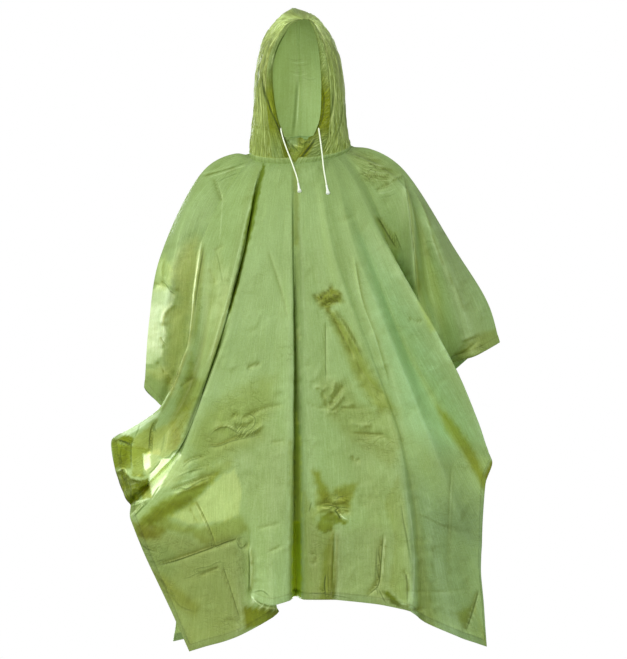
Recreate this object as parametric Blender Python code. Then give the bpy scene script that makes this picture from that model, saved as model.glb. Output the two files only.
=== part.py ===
"""A hooded rain poncho, held up as a wearer holds it, with both arms a little out to the sides.

One rectangular sheet of thin film, 1.27 m by 2.03 m, hangs from the shoulders. It falls over each arm
and is open down both sides, so it has a front and a back half that meet along the shoulders and arms.
A hood of two halves is welded to the oval neck opening, with a gathered casing round the face, and
the two ends of a white drawstring leave the casing.

Millimetres in the tables, metres in the scene. +Z is up, the front faces -Y and the wearer's left arm
is at +X. The origin is the middle of the neck opening, where the wearer's shoulders carry the sheet.
"""

from collections import namedtuple

import bpy
import numpy as np

MM = 0.001

# Cloth. The film itself is far thinner; this is the wall that stands for it.
WALL = 1.5
SEAM_GAP = 0.3
HEM_WIDTH = 15.0
HEM_THICKNESS = 1.0
MITRE_LIMIT = 0.15

# Neck opening: an oval, lower in front than behind, and a little higher on the wearer's left.
NECK_HALF_WIDTH = 109.0
NECK_HALF_DEPTH = 86.0
NECK_HEIGHT = -1.0
NECK_FRONT_DROP = 26.0
NECK_SIDE_TILT = 9.0
# The sheet leaves the opening nearly level and rounds over the shoulders.
SHOULDER_ROUNDING = 55.0

# Mesh density.
COLUMNS_PER_FOLD = 2
SHEET_ROWS = 18
HOOD_ROWS = 19
CASING_ROWS_PER_HOOD_ROW = 2
GATHERS_PER_HALF = 11

# The sheet hangs in folds that fan out from the neck. Each row is one ridge or valley: where it leaves
# the neck opening (degrees from the front, wearer's left positive), then the points that it passes on
# its way down, as x, y, z. The last one is on the sheet's edge.
Fold = namedtuple("Fold", "name turn path")

FRONT_FOLDS = (
    Fold("arm_top_left_hand", 90,
         ((152, 4, 4), (216, 8, -33), (338, 2, -218), (406, -8, -330), (431, -12, -414))),
    Fold("sleeve_ridge", 80, ((246, -40, -106), (312, -72, -240), (377, -62, -444))),
    Fold("sleeve_valley", 72, ((232, -50, -110), (282, -50, -300), (334, -36, -457))),
    Fold("shoulder_ridge", 64, ((228, -66, -80), (252, -96, -290), (302, -14, -480))),
    Fold("armpit_valley", 56, ((168, -78, -130), (202, -40, -310), (248, 34, -594))),
    Fold("drape_ridge", 46, ((180, -144, -194), (347, -188, -490), (415, -144, -668))),
    Fold("notch_valley", 40, ((134, -138, -180), (232, -152, -430), (399, -131, -716))),
    Fold("side_crest", 34, ((116, -156, -200), (272, -196, -600), (389, -156, -905))),
    Fold("corner_left_hand", 29, ((102, -156, -215), (258, -196, -640), (402, -142, -1068))),
    Fold("corner_swell", 25, ((92, -158, -225), (244, -200, -660), (326, -200, -1040))),
    Fold("crest_flank", 21, ((84, -160, -235), (232, -206, -680), (266, -204, -1014))),
    Fold("long_crest", 17, ((76, -163, -235), (214, -216, -640), (243, -262, -992))),
    Fold("olive_valley", 13, ((58, -163, -270), (142, -198, -620), (170, -226, -976))),
    Fold("hem_ridge", 8, ((38, -165, -300), (86, -199, -640), (84, -216, -820), (79, -238, -966))),
    Fold("hem_valley", 4, ((20, -165, -300), (54, -197, -640), (70, -208, -820), (71, -222, -966))),
    Fold("pleat_shoulder", 0, ((5, -164, -300), (24, -195, -620), (36, -224, -966))),
    Fold("pleat_right_lip", -3, ((-3, -159, -300), (4, -188, -600), (7, -212, -966))),
    Fold("pleat_bottom", -5.5, ((-11, -142, -300), (-9, -118, -600), (-8, -98, -960))),
    Fold("pleat_left_lip", -8, ((-16, -169, -290), (-15, -206, -560), (-23, -250, -968))),
    Fold("centre_ridge", -12, ((-40, -166, -300), (-60, -203, -620), (-62, -270, -978))),
    Fold("tuck_front", -16, ((-58, -165, -300), (-90, -199, -650), (-108, -224, -840), (-107, -240, -962))),
    Fold("tuck_back", -19, ((-70, -164, -300), (-108, -195, -650), (-116, -206, -830), (-38, -186, -990))),
    Fold("front_swell", -23,
         ((-82, -163, -300), (-140, -191, -650), (-136, -202, -860), (-126, -212, -1042))),
    Fold("corner_right_hand", -28, ((-104, -161, -300), (-206, -178, -720), (-238, -164, -1078))),
    Fold("side_ridge", -34, ((-114, -153, -290), (-196, -166, -560), (-264, -166, -690), (-366, -150, -790))),
    Fold("side_valley", -41, ((-129, -108, -250), (-206, -108, -520), (-266, -112, -660), (-358, -98, -768))),
    Fold("side_lip", -45, ((-122, -144, -226), (-192, -172, -470), (-258, -172, -640), (-374, -136, -752))),
    Fold("hand_valley", -54, ((-168, -114, -200), (-214, -128, -450), (-288, -132, -600), (-398, -98, -690))),
    Fold("hand_ridge", -63, ((-211, -94, -193), (-240, -130, -410), (-299, -140, -550), (-406, -94, -622))),
    Fold("hidden_valley", -71, ((-196, -56, -185), (-206, -18, -420), (-232, 40, -592))),
    Fold("arm_front", -79, ((-226, -36, -100), (-286, -62, -320), (-301, -10, -550))),
    Fold("arm_top_right_hand", -90,
         ((-140, 4, -6), (-204, 8, -38), (-303, 5, -232), (-326, 0, -370), (-336, -4, -512))),
)

BACK_FOLDS = (
    Fold("arm_back_right", -101, ((-216, 46, -84), (-292, 56, -270), (-326, 42, -526))),
    Fold("back_valley_right", -113, ((-158, 84, -98), (-204, 62, -350), (-200, 66, -650))),
    Fold("back_drape_right", -123, ((-142, 116, -138), (-262, 144, -480), (-345, 112, -770))),
    Fold("side_valley_right", -131, ((-120, 122, -160), (-222, 122, -560), (-250, 82, -910))),
    Fold("back_corner_right", -139, ((-100, 128, -180), (-216, 160, -660), (-268, 150, -1056))),
    Fold("back_ridge_1", -148, ((-76, 136, -200), (-166, 194, -640), (-204, 230, -1020))),
    Fold("back_valley_1", -157, ((-52, 130, -200), (-112, 134, -640), (-140, 108, -996))),
    Fold("back_ridge_2", -166, ((-28, 136, -200), (-58, 200, -640), (-80, 238, -976))),
    Fold("back_valley_2", -175, ((-6, 131, -200), (-8, 136, -640), (-10, 104, -948))),
    Fold("back_ridge_3", 176, ((16, 136, -200), (46, 204, -640), (56, 240, -944))),
    Fold("back_valley_3", 167, ((42, 131, -200), (104, 136, -640), (122, 108, -948))),
    Fold("back_ridge_4", 158, ((66, 136, -200), (162, 196, -640), (196, 232, -962))),
    Fold("back_valley_4", 149, ((88, 130, -190), (214, 134, -640), (262, 106, -984))),
    Fold("back_corner_left", 139, ((108, 130, -180), (258, 166, -640), (354, 150, -1040))),
    Fold("side_valley_left", 131, ((122, 124, -160), (250, 124, -540), (302, 86, -890))),
    Fold("back_drape_left", 123, ((146, 116, -140), (284, 146, -440), (376, 112, -716))),
    Fold("back_valley_left", 113, ((168, 84, -94), (222, 62, -300), (268, 70, -550))),
    Fold("arm_back_left", 101, ((232, 46, -86), (320, 58, -244), (386, 40, -428))),
)

# The hood, from just above the neck opening to the front of the crown. In each section the film runs
# from the centre seam at the back, round the side, and curls inwards to the edge of the face opening.
# peak is 0 where the halves meet in a round back and 1 where they meet in a pointed ridge.
Section = namedtuple(
    "Section",
    "seam_x back_y back_z side_y side_z side_right side_left front_y curl rim_right rim_left peak",
)

HOOD_SECTIONS = (
    Section(0, 106, 62, 4, 34, -107, 104, -100, 14, -32, 25, 0.1),
    Section(0, 126, 122, 8, 80, -101, 98, -106, 26, -47, 42, 0.1),
    Section(-1, 130, 190, 8, 140, -99, 95, -108, 30, -57, 46, 0.1),
    Section(-4, 108, 250, 4, 196, -91, 86, -108, 30, -58, 44, 0.3),
    Section(-8, 66, 290, -8, 236, -80, 71, -108, 28, -48, 40, 0.6),
    Section(-13, 18, 307, -30, 262, -61, 53, -106, 24, -34, 34, 0.9),
    Section(-14, -30, 308, -58, 280, -43, 40, -103, 20, -18, 25, 0.9),
    Section(-6, -80, 293, -86, 284, -18, 24, -98, 10, 2, 17, 0.5),
)
HOOD_MEETS_AT = -7.0
HOOD_STOPS_SHORT = 1.0
NECK_SEAM_STARTS = 1.0
NECK_SEAM_HEIGHT = 7.0
NECK_SEAM_THICKNESS = 1.2
# From the side to the face opening a section sinks by this share of its rise behind.
HOOD_SAGS_FORWARDS = 0.35
# The gathers are full this many sections above the neck seam and fade out at the last place.
GATHER_DEPTH = 2.2
GATHERS_FULL_BY = 0.6
GATHERS_END_AT = 8.6

# The casing is the tunnel round the face opening. The drawstring puckers it.
CASING_COLUMNS = 4
CASING_GAP = 0.6
CASING_STARTS_AT = 1.2
CASING_THICKNESS = 1.6
CASING_PUFF = 1.6
PUCKER_DEPTH = 0.7

# Drawstring: each free end leaves the casing, hangs over the neck seam and lies on the front.
CORD_DIAMETER = 3.0
CORD_STEP = 7.0
CORD_FIRST_STEP = 3.5
CORD_RIGHT = (
    (-41, -101.8, 47),
    (-41, -105.8, 44),
    (-37, -103.5, 27),
    (-30, -101.5, 6),
    (-20, -101.5, -20),
    (-10, -104.5, -48),
    (-5.2, -109.6, -64),
    (-4, -113.7, -71),
)
CORD_LEFT = (
    (40, -104.9, 47),
    (40.5, -108.8, 44),
    (43, -107, 27),
    (47, -104, -4),
    (51, -103.5, -40),
    (55.6, -111.6, -67),
    (57, -115.9, -75),
)
# The bell on each end, as radius and distance from its top.
CORD_END_PROFILE = ((2.2, 0), (2.2, 7.4), (2.5, 11.5), (4.6, 20), (4.2, 21))
CORD_END_SIDES = 10


def neck_point(turn):
    """A point of the neck opening's edge."""
    angle = np.radians(turn)
    height = NECK_HEIGHT - NECK_FRONT_DROP * np.cos(angle) + NECK_SIDE_TILT * np.sin(angle)
    return np.array([NECK_HALF_WIDTH * np.sin(angle), -NECK_HALF_DEPTH * np.cos(angle), height])


def curve_through(points, before=None, closed=False):
    """A function that gives the point at place t, where place 0 is the first point, 1 the second and so on.

    points has the shape (number, ..., 3). It is a centripetal Catmull-Rom curve, so uneven spacing
    makes no loops, and it works on many curves at once. before is a point that the curve comes from.
    """
    if closed:
        padded = np.concatenate([points[-1:], points, points[:2]])
    else:
        first = 2 * points[:1] - points[1:2] if before is None else before[None]
        last = 2 * points[-1:] - points[-2:-1]
        padded = np.concatenate([first, points, last])
    gaps = np.sqrt(np.linalg.norm(np.diff(padded, axis=0), axis=-1, keepdims=True))
    gaps = np.maximum(gaps, 1e-6)

    def at(t):
        i = min(int(t), len(padded) - 4)
        p0, p1, p2, p3 = padded[i : i + 4]
        g0, g1, g2 = gaps[i : i + 3]
        along = (t - i) * g1
        a1 = p0 + (p1 - p0) * (along + g0) / g0
        a2 = p1 + (p2 - p1) * along / g1
        a3 = p2 + (p3 - p2) * (along - g1) / g2
        b1 = a1 + (a2 - a1) * (along + g0) / (g0 + g1)
        b2 = a2 + (a3 - a2) * along / (g1 + g2)
        return b1 + (b2 - b1) * along / g1

    return at


def spaced_along(at, last_place, distances_of):
    """Points of a curve at the distances that distances_of gives for its length."""
    line = np.array([at(t) for t in np.linspace(0, last_place, 160)])
    length = np.concatenate([[0], np.cumsum(np.linalg.norm(np.diff(line, axis=0), axis=1))])
    wanted = distances_of(length[-1])
    return np.stack([np.interp(wanted, length, line[:, axis]) for axis in range(3)], axis=1)


def sheet_distances(length):
    """Distances from the neck of the sheet's rows: even ones, the last of them at the hem's inner edge."""
    even = np.linspace(0, length - HEM_WIDTH, SHEET_ROWS - 1)
    return np.append(even, length)


def fold_line(fold):
    """The points of one ridge or valley, from the neck opening to the sheet's edge."""
    start = neck_point(fold.turn)
    outwards = neck_point(fold.turn) * (1, 1, 0)
    level = start - SHOULDER_ROUNDING * outwards / np.linalg.norm(outwards)
    at = curve_through(np.array([start, *fold.path], float), before=level)
    return spaced_along(at, len(fold.path), sheet_distances)


def sheet_grid():
    """The sheet's outer face as (columns, rows, 3), all the way round from the wearer's left arm."""
    folds = FRONT_FOLDS + BACK_FOLDS
    at = curve_through(np.array([fold_line(fold) for fold in folds]), closed=True)
    places = np.arange(len(folds) * COLUMNS_PER_FOLD) / COLUMNS_PER_FOLD
    return np.array([at(place) for place in places])


def hood_section(section, side, shares):
    """One half of a hood section, from the centre seam (share 0) to the face opening's edge (share 1)."""
    width = getattr(section, "side_" + side) - section.seam_x
    rim = getattr(section, "rim_" + side) - section.seam_x
    curl = np.radians(90 + section.curl)
    reach = (width - rim) / (1 - np.cos(curl))
    rise = section.back_z - section.side_z
    points = []
    for share in shares:
        if share < 0.5:
            towards_seam = 1 - 2 * share
            round_rise = np.sin(np.pi / 2 * towards_seam)
            up = round_rise + section.peak * (towards_seam - round_rise)
            x = width * np.cos(np.pi / 2 * towards_seam)
            y = section.side_y + (section.back_y - section.side_y) * round_rise
            z = section.side_z + rise * up
        else:
            angle = curl * (2 * share - 1)
            x = width - reach * (1 - np.cos(angle))
            y = section.side_y + (section.front_y - section.side_y) * np.sin(angle)
            z = section.side_z - HOOD_SAGS_FORWARDS * rise * np.sin(angle)
        points.append((section.seam_x + x, y, z))
    return points


def hood_base_row(side, shares):
    """The lowest row of one half of the hood, just clear of the neck opening."""
    if side == "right":
        turns = -180 + (180 + HOOD_MEETS_AT - HOOD_STOPS_SHORT) * shares
    else:
        turns = 180 - (180 - HOOD_MEETS_AT - HOOD_STOPS_SHORT) * shares
    return [neck_point(turn) + (0, 0, SEAM_GAP) for turn in turns]


def hood_surface(side, shares, places):
    """One half of the hood as (columns, rows, 3). Place 0 is the neck and each section adds 1."""
    rows = [hood_base_row(side, shares)]
    rows += [hood_section(section, side, shares) for section in HOOD_SECTIONS]
    at = curve_through(np.array(rows, float))
    return np.array([at(place) for place in places]).transpose(1, 0, 2)


def hood_places():
    """The hood's rows: the neck, the top of the neck seam, then even ones."""
    seam_top = NECK_SEAM_HEIGHT / (HOOD_SECTIONS[0].side_z - NECK_HEIGHT)
    even = np.linspace(0, len(HOOD_SECTIONS), HOOD_ROWS - 1)
    return np.concatenate([[0, seam_top], even[1:]])


def gathers(shares, places):
    """How far the gathers stand out, as (columns, rows): none at a welded edge, most above the neck."""
    ridges = np.where(np.arange(len(shares)) % 2, 1.0, -1.0)
    ridges[0] = 0
    ridges[-CASING_COLUMNS:] = 0
    rising = np.clip((places - places[1]) / GATHERS_FULL_BY, 0, 1)
    fading = np.clip((GATHERS_END_AT - places) / (len(HOOD_SECTIONS) - GATHERS_FULL_BY), 0, 1)
    return GATHER_DEPTH / 2 * np.outer(ridges, rising * fading)


def unit(vectors):
    return vectors / np.linalg.norm(vectors, axis=-1, keepdims=True)


def midway(steps, closed=False):
    """The direction midway between each step and the one before it, along the first axis."""
    if closed:
        return unit(steps + np.roll(steps, 1, axis=0))
    return unit(np.concatenate([steps[:1], steps[:-1] + steps[1:], steps[-1:]]))


def facet_normals(grid, closed=False):
    """Unit normals of the strips between columns, at each row, pointing away from the wearer."""
    down = midway(unit(np.diff(grid, axis=1)).transpose(1, 0, 2)).transpose(1, 0, 2)
    if closed:
        steps = np.roll(grid, -1, axis=0) - grid
        down_between = down + np.roll(down, -1, axis=0)
    else:
        steps = np.diff(grid, axis=0)
        down_between = down[:-1] + down[1:]
    return unit(np.cross(steps, down_between))


def normals_of(grid, closed=False):
    """Unit normals of a grid of points, midway between the facets, so sound where a fold is sharp."""
    return midway(facet_normals(grid, closed), closed)


def mitred(grid, normals):
    """The normals made longer at a fold, so that what is moved out along them keeps its distance there."""
    facets = facet_normals(grid)
    slant = np.sum(np.concatenate([facets[:1], facets]) * normals, axis=-1, keepdims=True)
    return normals / np.maximum(slant, MITRE_LIMIT)


def parted(grid, first=True, last=True):
    """The grid with its first and last columns drawn in by half of the seam gap."""
    grid = grid.copy()
    for edge, inner, wanted in ((0, 1, first), (-1, -2, last)):
        inwards = grid[inner] - grid[edge]
        if wanted:
            grid[edge] += SEAM_GAP / 2 * inwards / np.linalg.norm(inwards, axis=1, keepdims=True)
    return grid


def split_quad(points, a, b, c, d):
    """Two triangles for a face whose corners go round as a, b, c, d, cut along the shorter diagonal."""
    if np.linalg.norm(points[a] - points[c]) < np.linalg.norm(points[b] - points[d]):
        return [(a, b, c), (a, c, d)]
    return [(b, c, d), (b, d, a)]


def wall(name, outer, inner, material, guide=None):
    """A closed wall between two grids of points, with its faces cut alike inside and outside.

    guide is the grid whose shorter diagonals the faces are cut along, for a wall that lies on another.
    """
    columns, rows = outer.shape[:2]
    total = columns * rows
    points = np.concatenate([outer.reshape(-1, 3), inner.reshape(-1, 3)]) * MM
    guide = (outer if guide is None else guide).reshape(-1, 3)
    number = np.arange(total).reshape(columns, rows)
    faces = []
    for c in range(columns - 1):
        for r in range(rows - 1):
            corners = (number[c, r], number[c + 1, r], number[c + 1, r + 1], number[c, r + 1])
            halves = split_quad(guide, *corners)
            faces += halves
            faces += [tuple(corner + total for corner in reversed(half)) for half in halves]
    rim = [*number[:, 0], *number[-1, 1:], *number[-2::-1, -1], *number[0, -2:0:-1]]
    for here, after in zip(rim, rim[1:] + rim[:1]):
        faces += [(after, here, here + total), (after, here + total, after + total)]
    mesh = bpy.data.meshes.new(name)
    mesh.from_pydata(points.tolist(), [], [tuple(int(corner) for corner in face) for face in faces])
    return add_object(name, mesh, material)


def add_object(name, data, material):
    obj = bpy.data.objects.new(name, data)
    data.materials.append(material)
    bpy.data.collections["poncho"].objects.link(obj)
    if obj.type == "MESH":
        data.shade_smooth()
    return obj


def make_material(name, color, roughness):
    material = bpy.data.materials.new(name)
    material.use_nodes = True
    shader = material.node_tree.nodes["Principled BSDF"]
    shader.inputs["Base Color"].default_value = (*color, 1)
    shader.inputs["Roughness"].default_value = roughness
    shader.inputs["Metallic"].default_value = 0
    return material


def make_sheet(film):
    """The front and back halves of the sheet, with the welded hem on the outer face of each."""
    grid = sheet_grid()
    normals = normals_of(grid, closed=True)
    last_front = (len(FRONT_FOLDS) - 1) * COLUMNS_PER_FOLD
    halves = {
        "front": np.arange(last_front + 1),
        "back": np.append(np.arange(last_front, len(grid)), 0),
    }
    for name, columns in halves.items():
        outer = parted(grid[columns])
        out = normals[columns]
        wall(name, outer, outer - WALL * out, film)
        band = outer[:, -2:]
        hem_inner = band + SEAM_GAP * mitred(band, out[:, -2:])
        wall("hem_" + name, hem_inner + HEM_THICKNESS * out[:, -2:], hem_inner, film, guide=band)


def make_hood(film):
    """The two halves of the hood and, on their outer faces, the neck seam and the casings."""
    shares = np.linspace(0, 1, 2 * GATHERS_PER_HALF + 1)
    places = hood_places()
    right = hood_surface("right", shares, places)
    left = hood_surface("left", shares, places)
    whole = np.concatenate([left[::-1], right[1:]])
    normals = normals_of(whole)
    middle = len(shares) - 1
    puffed = gathers(shares, places)
    whole += normals * np.concatenate([puffed[::-1], puffed[1:]])[:, :, None]
    for side, columns in (("left", slice(0, middle + 1)), ("right", slice(middle, None))):
        outer = parted(whole[columns], first=side == "right", last=side == "left")
        wall("hood_" + side, outer, outer - WALL * normals[columns], film)
    rows = np.array([NECK_SEAM_STARTS / NECK_SEAM_HEIGHT, 1])
    seam_inner = between_rows(whole + SEAM_GAP * mitred(whole, normals), rows)
    wall("neck_seam", seam_inner + NECK_SEAM_THICKNESS * between_rows(normals, rows), seam_inner, film)
    for side, columns in (("left", slice(0, CASING_COLUMNS)), ("right", slice(-CASING_COLUMNS, None))):
        make_casing(side, whole[columns], normals[columns], film)


def between_rows(grid, rows):
    """Points of a grid at these row numbers, which need not be whole, on the straight line between rows."""
    whole_rows = np.minimum(rows.astype(int), grid.shape[1] - 2)
    part = (rows - whole_rows)[None, :, None]
    return grid[:, whole_rows] * (1 - part) + grid[:, whole_rows + 1] * part


def make_casing(side, hood, hood_normals, film):
    """The puckered tunnel along one side of the face opening, on the hood's outermost columns."""
    last_row = hood.shape[1] - 1
    rows = np.arange(last_row * CASING_ROWS_PER_HOOD_ROW + 1) / CASING_ROWS_PER_HOOD_ROW
    rows = np.append(CASING_STARTS_AT, rows[rows > CASING_STARTS_AT])
    inner = between_rows(hood + CASING_GAP * mitred(hood, hood_normals), rows)
    puff = CASING_PUFF * np.sin(np.pi * np.linspace(0, 1, CASING_COLUMNS))
    pucker = np.where(np.arange(len(rows)) % 2, PUCKER_DEPTH, 0)
    thickness = CASING_THICKNESS + puff[:, None] + pucker[None, :]
    wall("casing_" + side, inner + thickness[:, :, None] * between_rows(hood_normals, rows), inner, film)


def cord_distances(length):
    """Distances from the casing of the cord's points: a short step straight out of it, then even ones."""
    number = round((length - CORD_FIRST_STEP) / CORD_STEP) + 1
    return np.append(0, np.linspace(CORD_FIRST_STEP, length, number))


def make_drawstring(side, route, white, plastic):
    """One free end of the drawstring, with the bell-shaped piece on it."""
    at = curve_through(np.array(route, float))
    points = spaced_along(at, len(route) - 1, cord_distances)
    curve = bpy.data.curves.new("drawstring_" + side, "CURVE")
    curve.dimensions = "3D"
    curve.bevel_depth = CORD_DIAMETER / 2 * MM
    curve.bevel_resolution = 2
    curve.use_fill_caps = True
    spline = curve.splines.new("POLY")
    spline.points.add(len(points) - 1)
    for place, point in zip(spline.points, points):
        place.co = (*(point * MM), 1)
    add_object("drawstring_" + side, curve, white)
    make_cord_end(side, points[-1], points[-1] - points[-2], plastic)


def make_cord_end(side, top, direction, plastic):
    """A bell that hangs from the end of the cord: narrow where the cord enters and flared below."""
    down = direction / np.linalg.norm(direction)
    across = np.cross(down, (0, 1, 0))
    across /= np.linalg.norm(across)
    beside = np.cross(down, across)
    start = top + SEAM_GAP * down
    angles = np.radians(np.arange(0, 360, 360 / CORD_END_SIDES))
    points = []
    for radius, along in CORD_END_PROFILE:
        points += [start + along * down + radius * (np.cos(a) * across + np.sin(a) * beside) for a in angles]
    faces = [tuple(range(CORD_END_SIDES))[::-1]]
    for first in range(0, len(points) - CORD_END_SIDES, CORD_END_SIDES):
        for i in range(CORD_END_SIDES):
            a, b = first + i, first + (i + 1) % CORD_END_SIDES
            faces.append((a, b, b + CORD_END_SIDES, a + CORD_END_SIDES))
    faces.append(tuple(range(len(points) - CORD_END_SIDES, len(points))))
    mesh = bpy.data.meshes.new("cord_end_" + side)
    mesh.from_pydata((np.array(points) * MM).tolist(), [], faces)
    add_object("cord_end_" + side, mesh, plastic)


def main():
    for obj in list(bpy.data.objects):
        bpy.data.objects.remove(obj)
    bpy.context.scene.collection.children.link(bpy.data.collections.new("poncho"))
    film = make_material("green_film", (0.33, 0.47, 0.18), 0.4)
    white = make_material("white_cord", (0.85, 0.85, 0.78), 0.6)
    plastic = make_material("white_plastic", (0.85, 0.85, 0.78), 0.5)
    make_sheet(film)
    make_hood(film)
    make_drawstring("right", CORD_RIGHT, white, plastic)
    make_drawstring("left", CORD_LEFT, white, plastic)


main()
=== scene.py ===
"""The looks of the rain poncho: its thin satin film, welds, gathers and cords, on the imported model's frame.

Millimetres in the tables and the surface code, metres in the scene. +Z is up, the front faces -Y and the
wearer's left arm is at +X. Every surface follows the same named folds and sections as its CAD solid, drawn
finer, with the creases and crumples of a folded film on it.
"""

from collections import namedtuple

import bpy
import numpy as np
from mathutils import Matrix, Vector


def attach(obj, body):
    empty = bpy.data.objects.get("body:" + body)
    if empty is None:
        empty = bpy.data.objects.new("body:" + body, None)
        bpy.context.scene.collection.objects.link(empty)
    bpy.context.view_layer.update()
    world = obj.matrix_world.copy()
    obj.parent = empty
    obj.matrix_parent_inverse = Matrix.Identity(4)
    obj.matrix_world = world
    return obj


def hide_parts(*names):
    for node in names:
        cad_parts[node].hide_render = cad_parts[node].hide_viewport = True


MM = 0.001

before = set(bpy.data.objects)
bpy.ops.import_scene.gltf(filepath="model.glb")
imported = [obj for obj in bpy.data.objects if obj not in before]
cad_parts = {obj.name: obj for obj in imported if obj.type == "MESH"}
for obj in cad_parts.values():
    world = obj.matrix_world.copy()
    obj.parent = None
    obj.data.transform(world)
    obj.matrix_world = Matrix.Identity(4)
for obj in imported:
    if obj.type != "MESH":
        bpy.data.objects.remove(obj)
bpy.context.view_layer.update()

# ---------------------------------------------------------------- sizes shared with the CAD source

NECK_HALF_WIDTH = 109.0
NECK_HALF_DEPTH = 86.0
NECK_HEIGHT = -1.0
NECK_FRONT_DROP = 26.0
NECK_SIDE_TILT = 9.0
SHOULDER_ROUNDING = 55.0
SEAM_GAP = 0.3

Fold = namedtuple("Fold", "name turn path")

FRONT_FOLDS = (
    Fold("arm_top_left_hand", 90,
         ((152, 4, 4), (216, 8, -33), (338, 2, -218), (406, -8, -330), (431, -12, -414))),
    Fold("sleeve_ridge", 80, ((246, -40, -106), (312, -72, -240), (377, -62, -444))),
    Fold("sleeve_valley", 72, ((232, -50, -110), (282, -50, -300), (334, -36, -457))),
    Fold("shoulder_ridge", 64, ((228, -66, -80), (252, -96, -290), (302, -14, -480))),
    Fold("armpit_valley", 56, ((168, -78, -130), (202, -40, -310), (248, 34, -594))),
    Fold("drape_ridge", 46, ((180, -144, -194), (347, -188, -490), (415, -144, -668))),
    Fold("notch_valley", 40, ((134, -138, -180), (232, -152, -430), (399, -131, -716))),
    Fold("side_crest", 34, ((116, -156, -200), (272, -196, -600), (389, -156, -905))),
    Fold("corner_left_hand", 29, ((102, -156, -215), (258, -196, -640), (402, -142, -1068))),
    Fold("corner_swell", 25, ((92, -158, -225), (244, -200, -660), (326, -200, -1040))),
    Fold("crest_flank", 21, ((84, -160, -235), (232, -206, -680), (266, -204, -1014))),
    Fold("long_crest", 17, ((76, -163, -235), (214, -216, -640), (243, -262, -992))),
    Fold("olive_valley", 13, ((58, -163, -270), (142, -198, -620), (170, -226, -976))),
    Fold("hem_ridge", 8, ((38, -165, -300), (86, -199, -640), (84, -216, -820), (79, -238, -966))),
    Fold("hem_valley", 4, ((20, -165, -300), (54, -197, -640), (70, -208, -820), (71, -222, -966))),
    Fold("pleat_shoulder", 0, ((5, -164, -300), (24, -195, -620), (36, -224, -966))),
    Fold("pleat_right_lip", -3, ((-3, -159, -300), (4, -188, -600), (7, -212, -966))),
    Fold("pleat_bottom", -5.5, ((-12, -148, -300), (-14, -130, -600), (-10, -98, -960))),
    Fold("pleat_left_lip", -8, ((-16, -169, -290), (-15, -206, -560), (-23, -250, -968))),
    Fold("centre_ridge", -12, ((-40, -166, -300), (-60, -203, -620), (-62, -270, -978))),
    Fold("tuck_front", -16, ((-58, -165, -300), (-90, -199, -650), (-108, -224, -840), (-107, -240, -962))),
    Fold("tuck_back", -19, ((-70, -164, -300), (-108, -195, -650), (-116, -206, -830), (-38, -186, -990))),
    Fold("front_swell", -23,
         ((-82, -163, -300), (-140, -191, -650), (-136, -202, -860), (-126, -212, -1042))),
    Fold("corner_right_hand", -28, ((-104, -161, -300), (-206, -178, -720), (-238, -164, -1078))),
    Fold("side_ridge", -34,
         ((-136, -156, -300), (-180, -166, -440), (-232, -170, -580), (-272, -168, -690),
          (-366, -150, -790))),
    Fold("side_valley", -41,
         ((-136, -112, -260), (-206, -114, -500), (-266, -140, -640), (-364, -124, -764))),
    Fold("side_lip", -45, ((-122, -144, -226), (-192, -172, -470), (-258, -172, -640), (-374, -136, -752))),
    Fold("hand_valley", -54, ((-168, -114, -200), (-214, -128, -450), (-288, -132, -600), (-398, -98, -690))),
    Fold("hand_ridge", -63, ((-211, -94, -193), (-240, -130, -410), (-299, -140, -550), (-406, -94, -622))),
    Fold("hidden_valley", -71, ((-196, -56, -185), (-206, -18, -420), (-232, 40, -592))),
    Fold("arm_front", -79, ((-226, -36, -100), (-286, -62, -320), (-301, -10, -550))),
    Fold("arm_top_right_hand", -90,
         ((-140, 4, -6), (-204, 8, -38), (-303, 5, -232), (-326, 0, -370), (-336, -4, -512))),
)

BACK_FOLDS = (
    Fold("arm_back_right", -101, ((-216, 46, -84), (-292, 56, -270), (-326, 42, -526))),
    Fold("back_valley_right", -113, ((-158, 84, -98), (-204, 62, -350), (-200, 66, -650))),
    Fold("back_drape_right", -123, ((-142, 116, -138), (-262, 144, -480), (-345, 112, -770))),
    Fold("side_valley_right", -131, ((-120, 122, -160), (-222, 122, -560), (-250, 82, -910))),
    Fold("back_corner_right", -139, ((-100, 128, -180), (-216, 160, -660), (-275, 150, -1062))),
    Fold("back_ridge_1", -148, ((-76, 136, -200), (-166, 194, -640), (-204, 230, -1046))),
    Fold("back_valley_1", -157, ((-52, 130, -200), (-112, 134, -640), (-140, 108, -996))),
    Fold("back_ridge_2", -166, ((-28, 136, -200), (-58, 200, -640), (-80, 238, -976))),
    Fold("back_valley_2", -175, ((-6, 131, -200), (-8, 136, -640), (-10, 104, -948))),
    Fold("back_ridge_3", 176, ((16, 136, -200), (46, 204, -640), (56, 240, -944))),
    Fold("back_valley_3", 167, ((42, 131, -200), (104, 136, -640), (122, 108, -948))),
    Fold("back_ridge_4", 158, ((66, 136, -200), (162, 196, -640), (196, 232, -962))),
    Fold("back_valley_4", 149, ((88, 130, -190), (214, 134, -640), (262, 106, -984))),
    Fold("back_corner_left", 139, ((108, 130, -180), (258, 166, -640), (354, 150, -1040))),
    Fold("side_valley_left", 131, ((122, 124, -160), (250, 124, -540), (302, 86, -890))),
    Fold("back_drape_left", 123, ((146, 116, -140), (284, 146, -440), (376, 112, -716))),
    Fold("back_valley_left", 113, ((168, 84, -94), (222, 62, -300), (268, 70, -550))),
    Fold("arm_back_left", 101, ((232, 46, -86), (320, 58, -244), (386, 40, -428))),
)

Section = namedtuple(
    "Section",
    "seam_x back_y back_z side_y side_z side_right side_left front_y curl rim_right rim_left peak",
)

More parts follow.
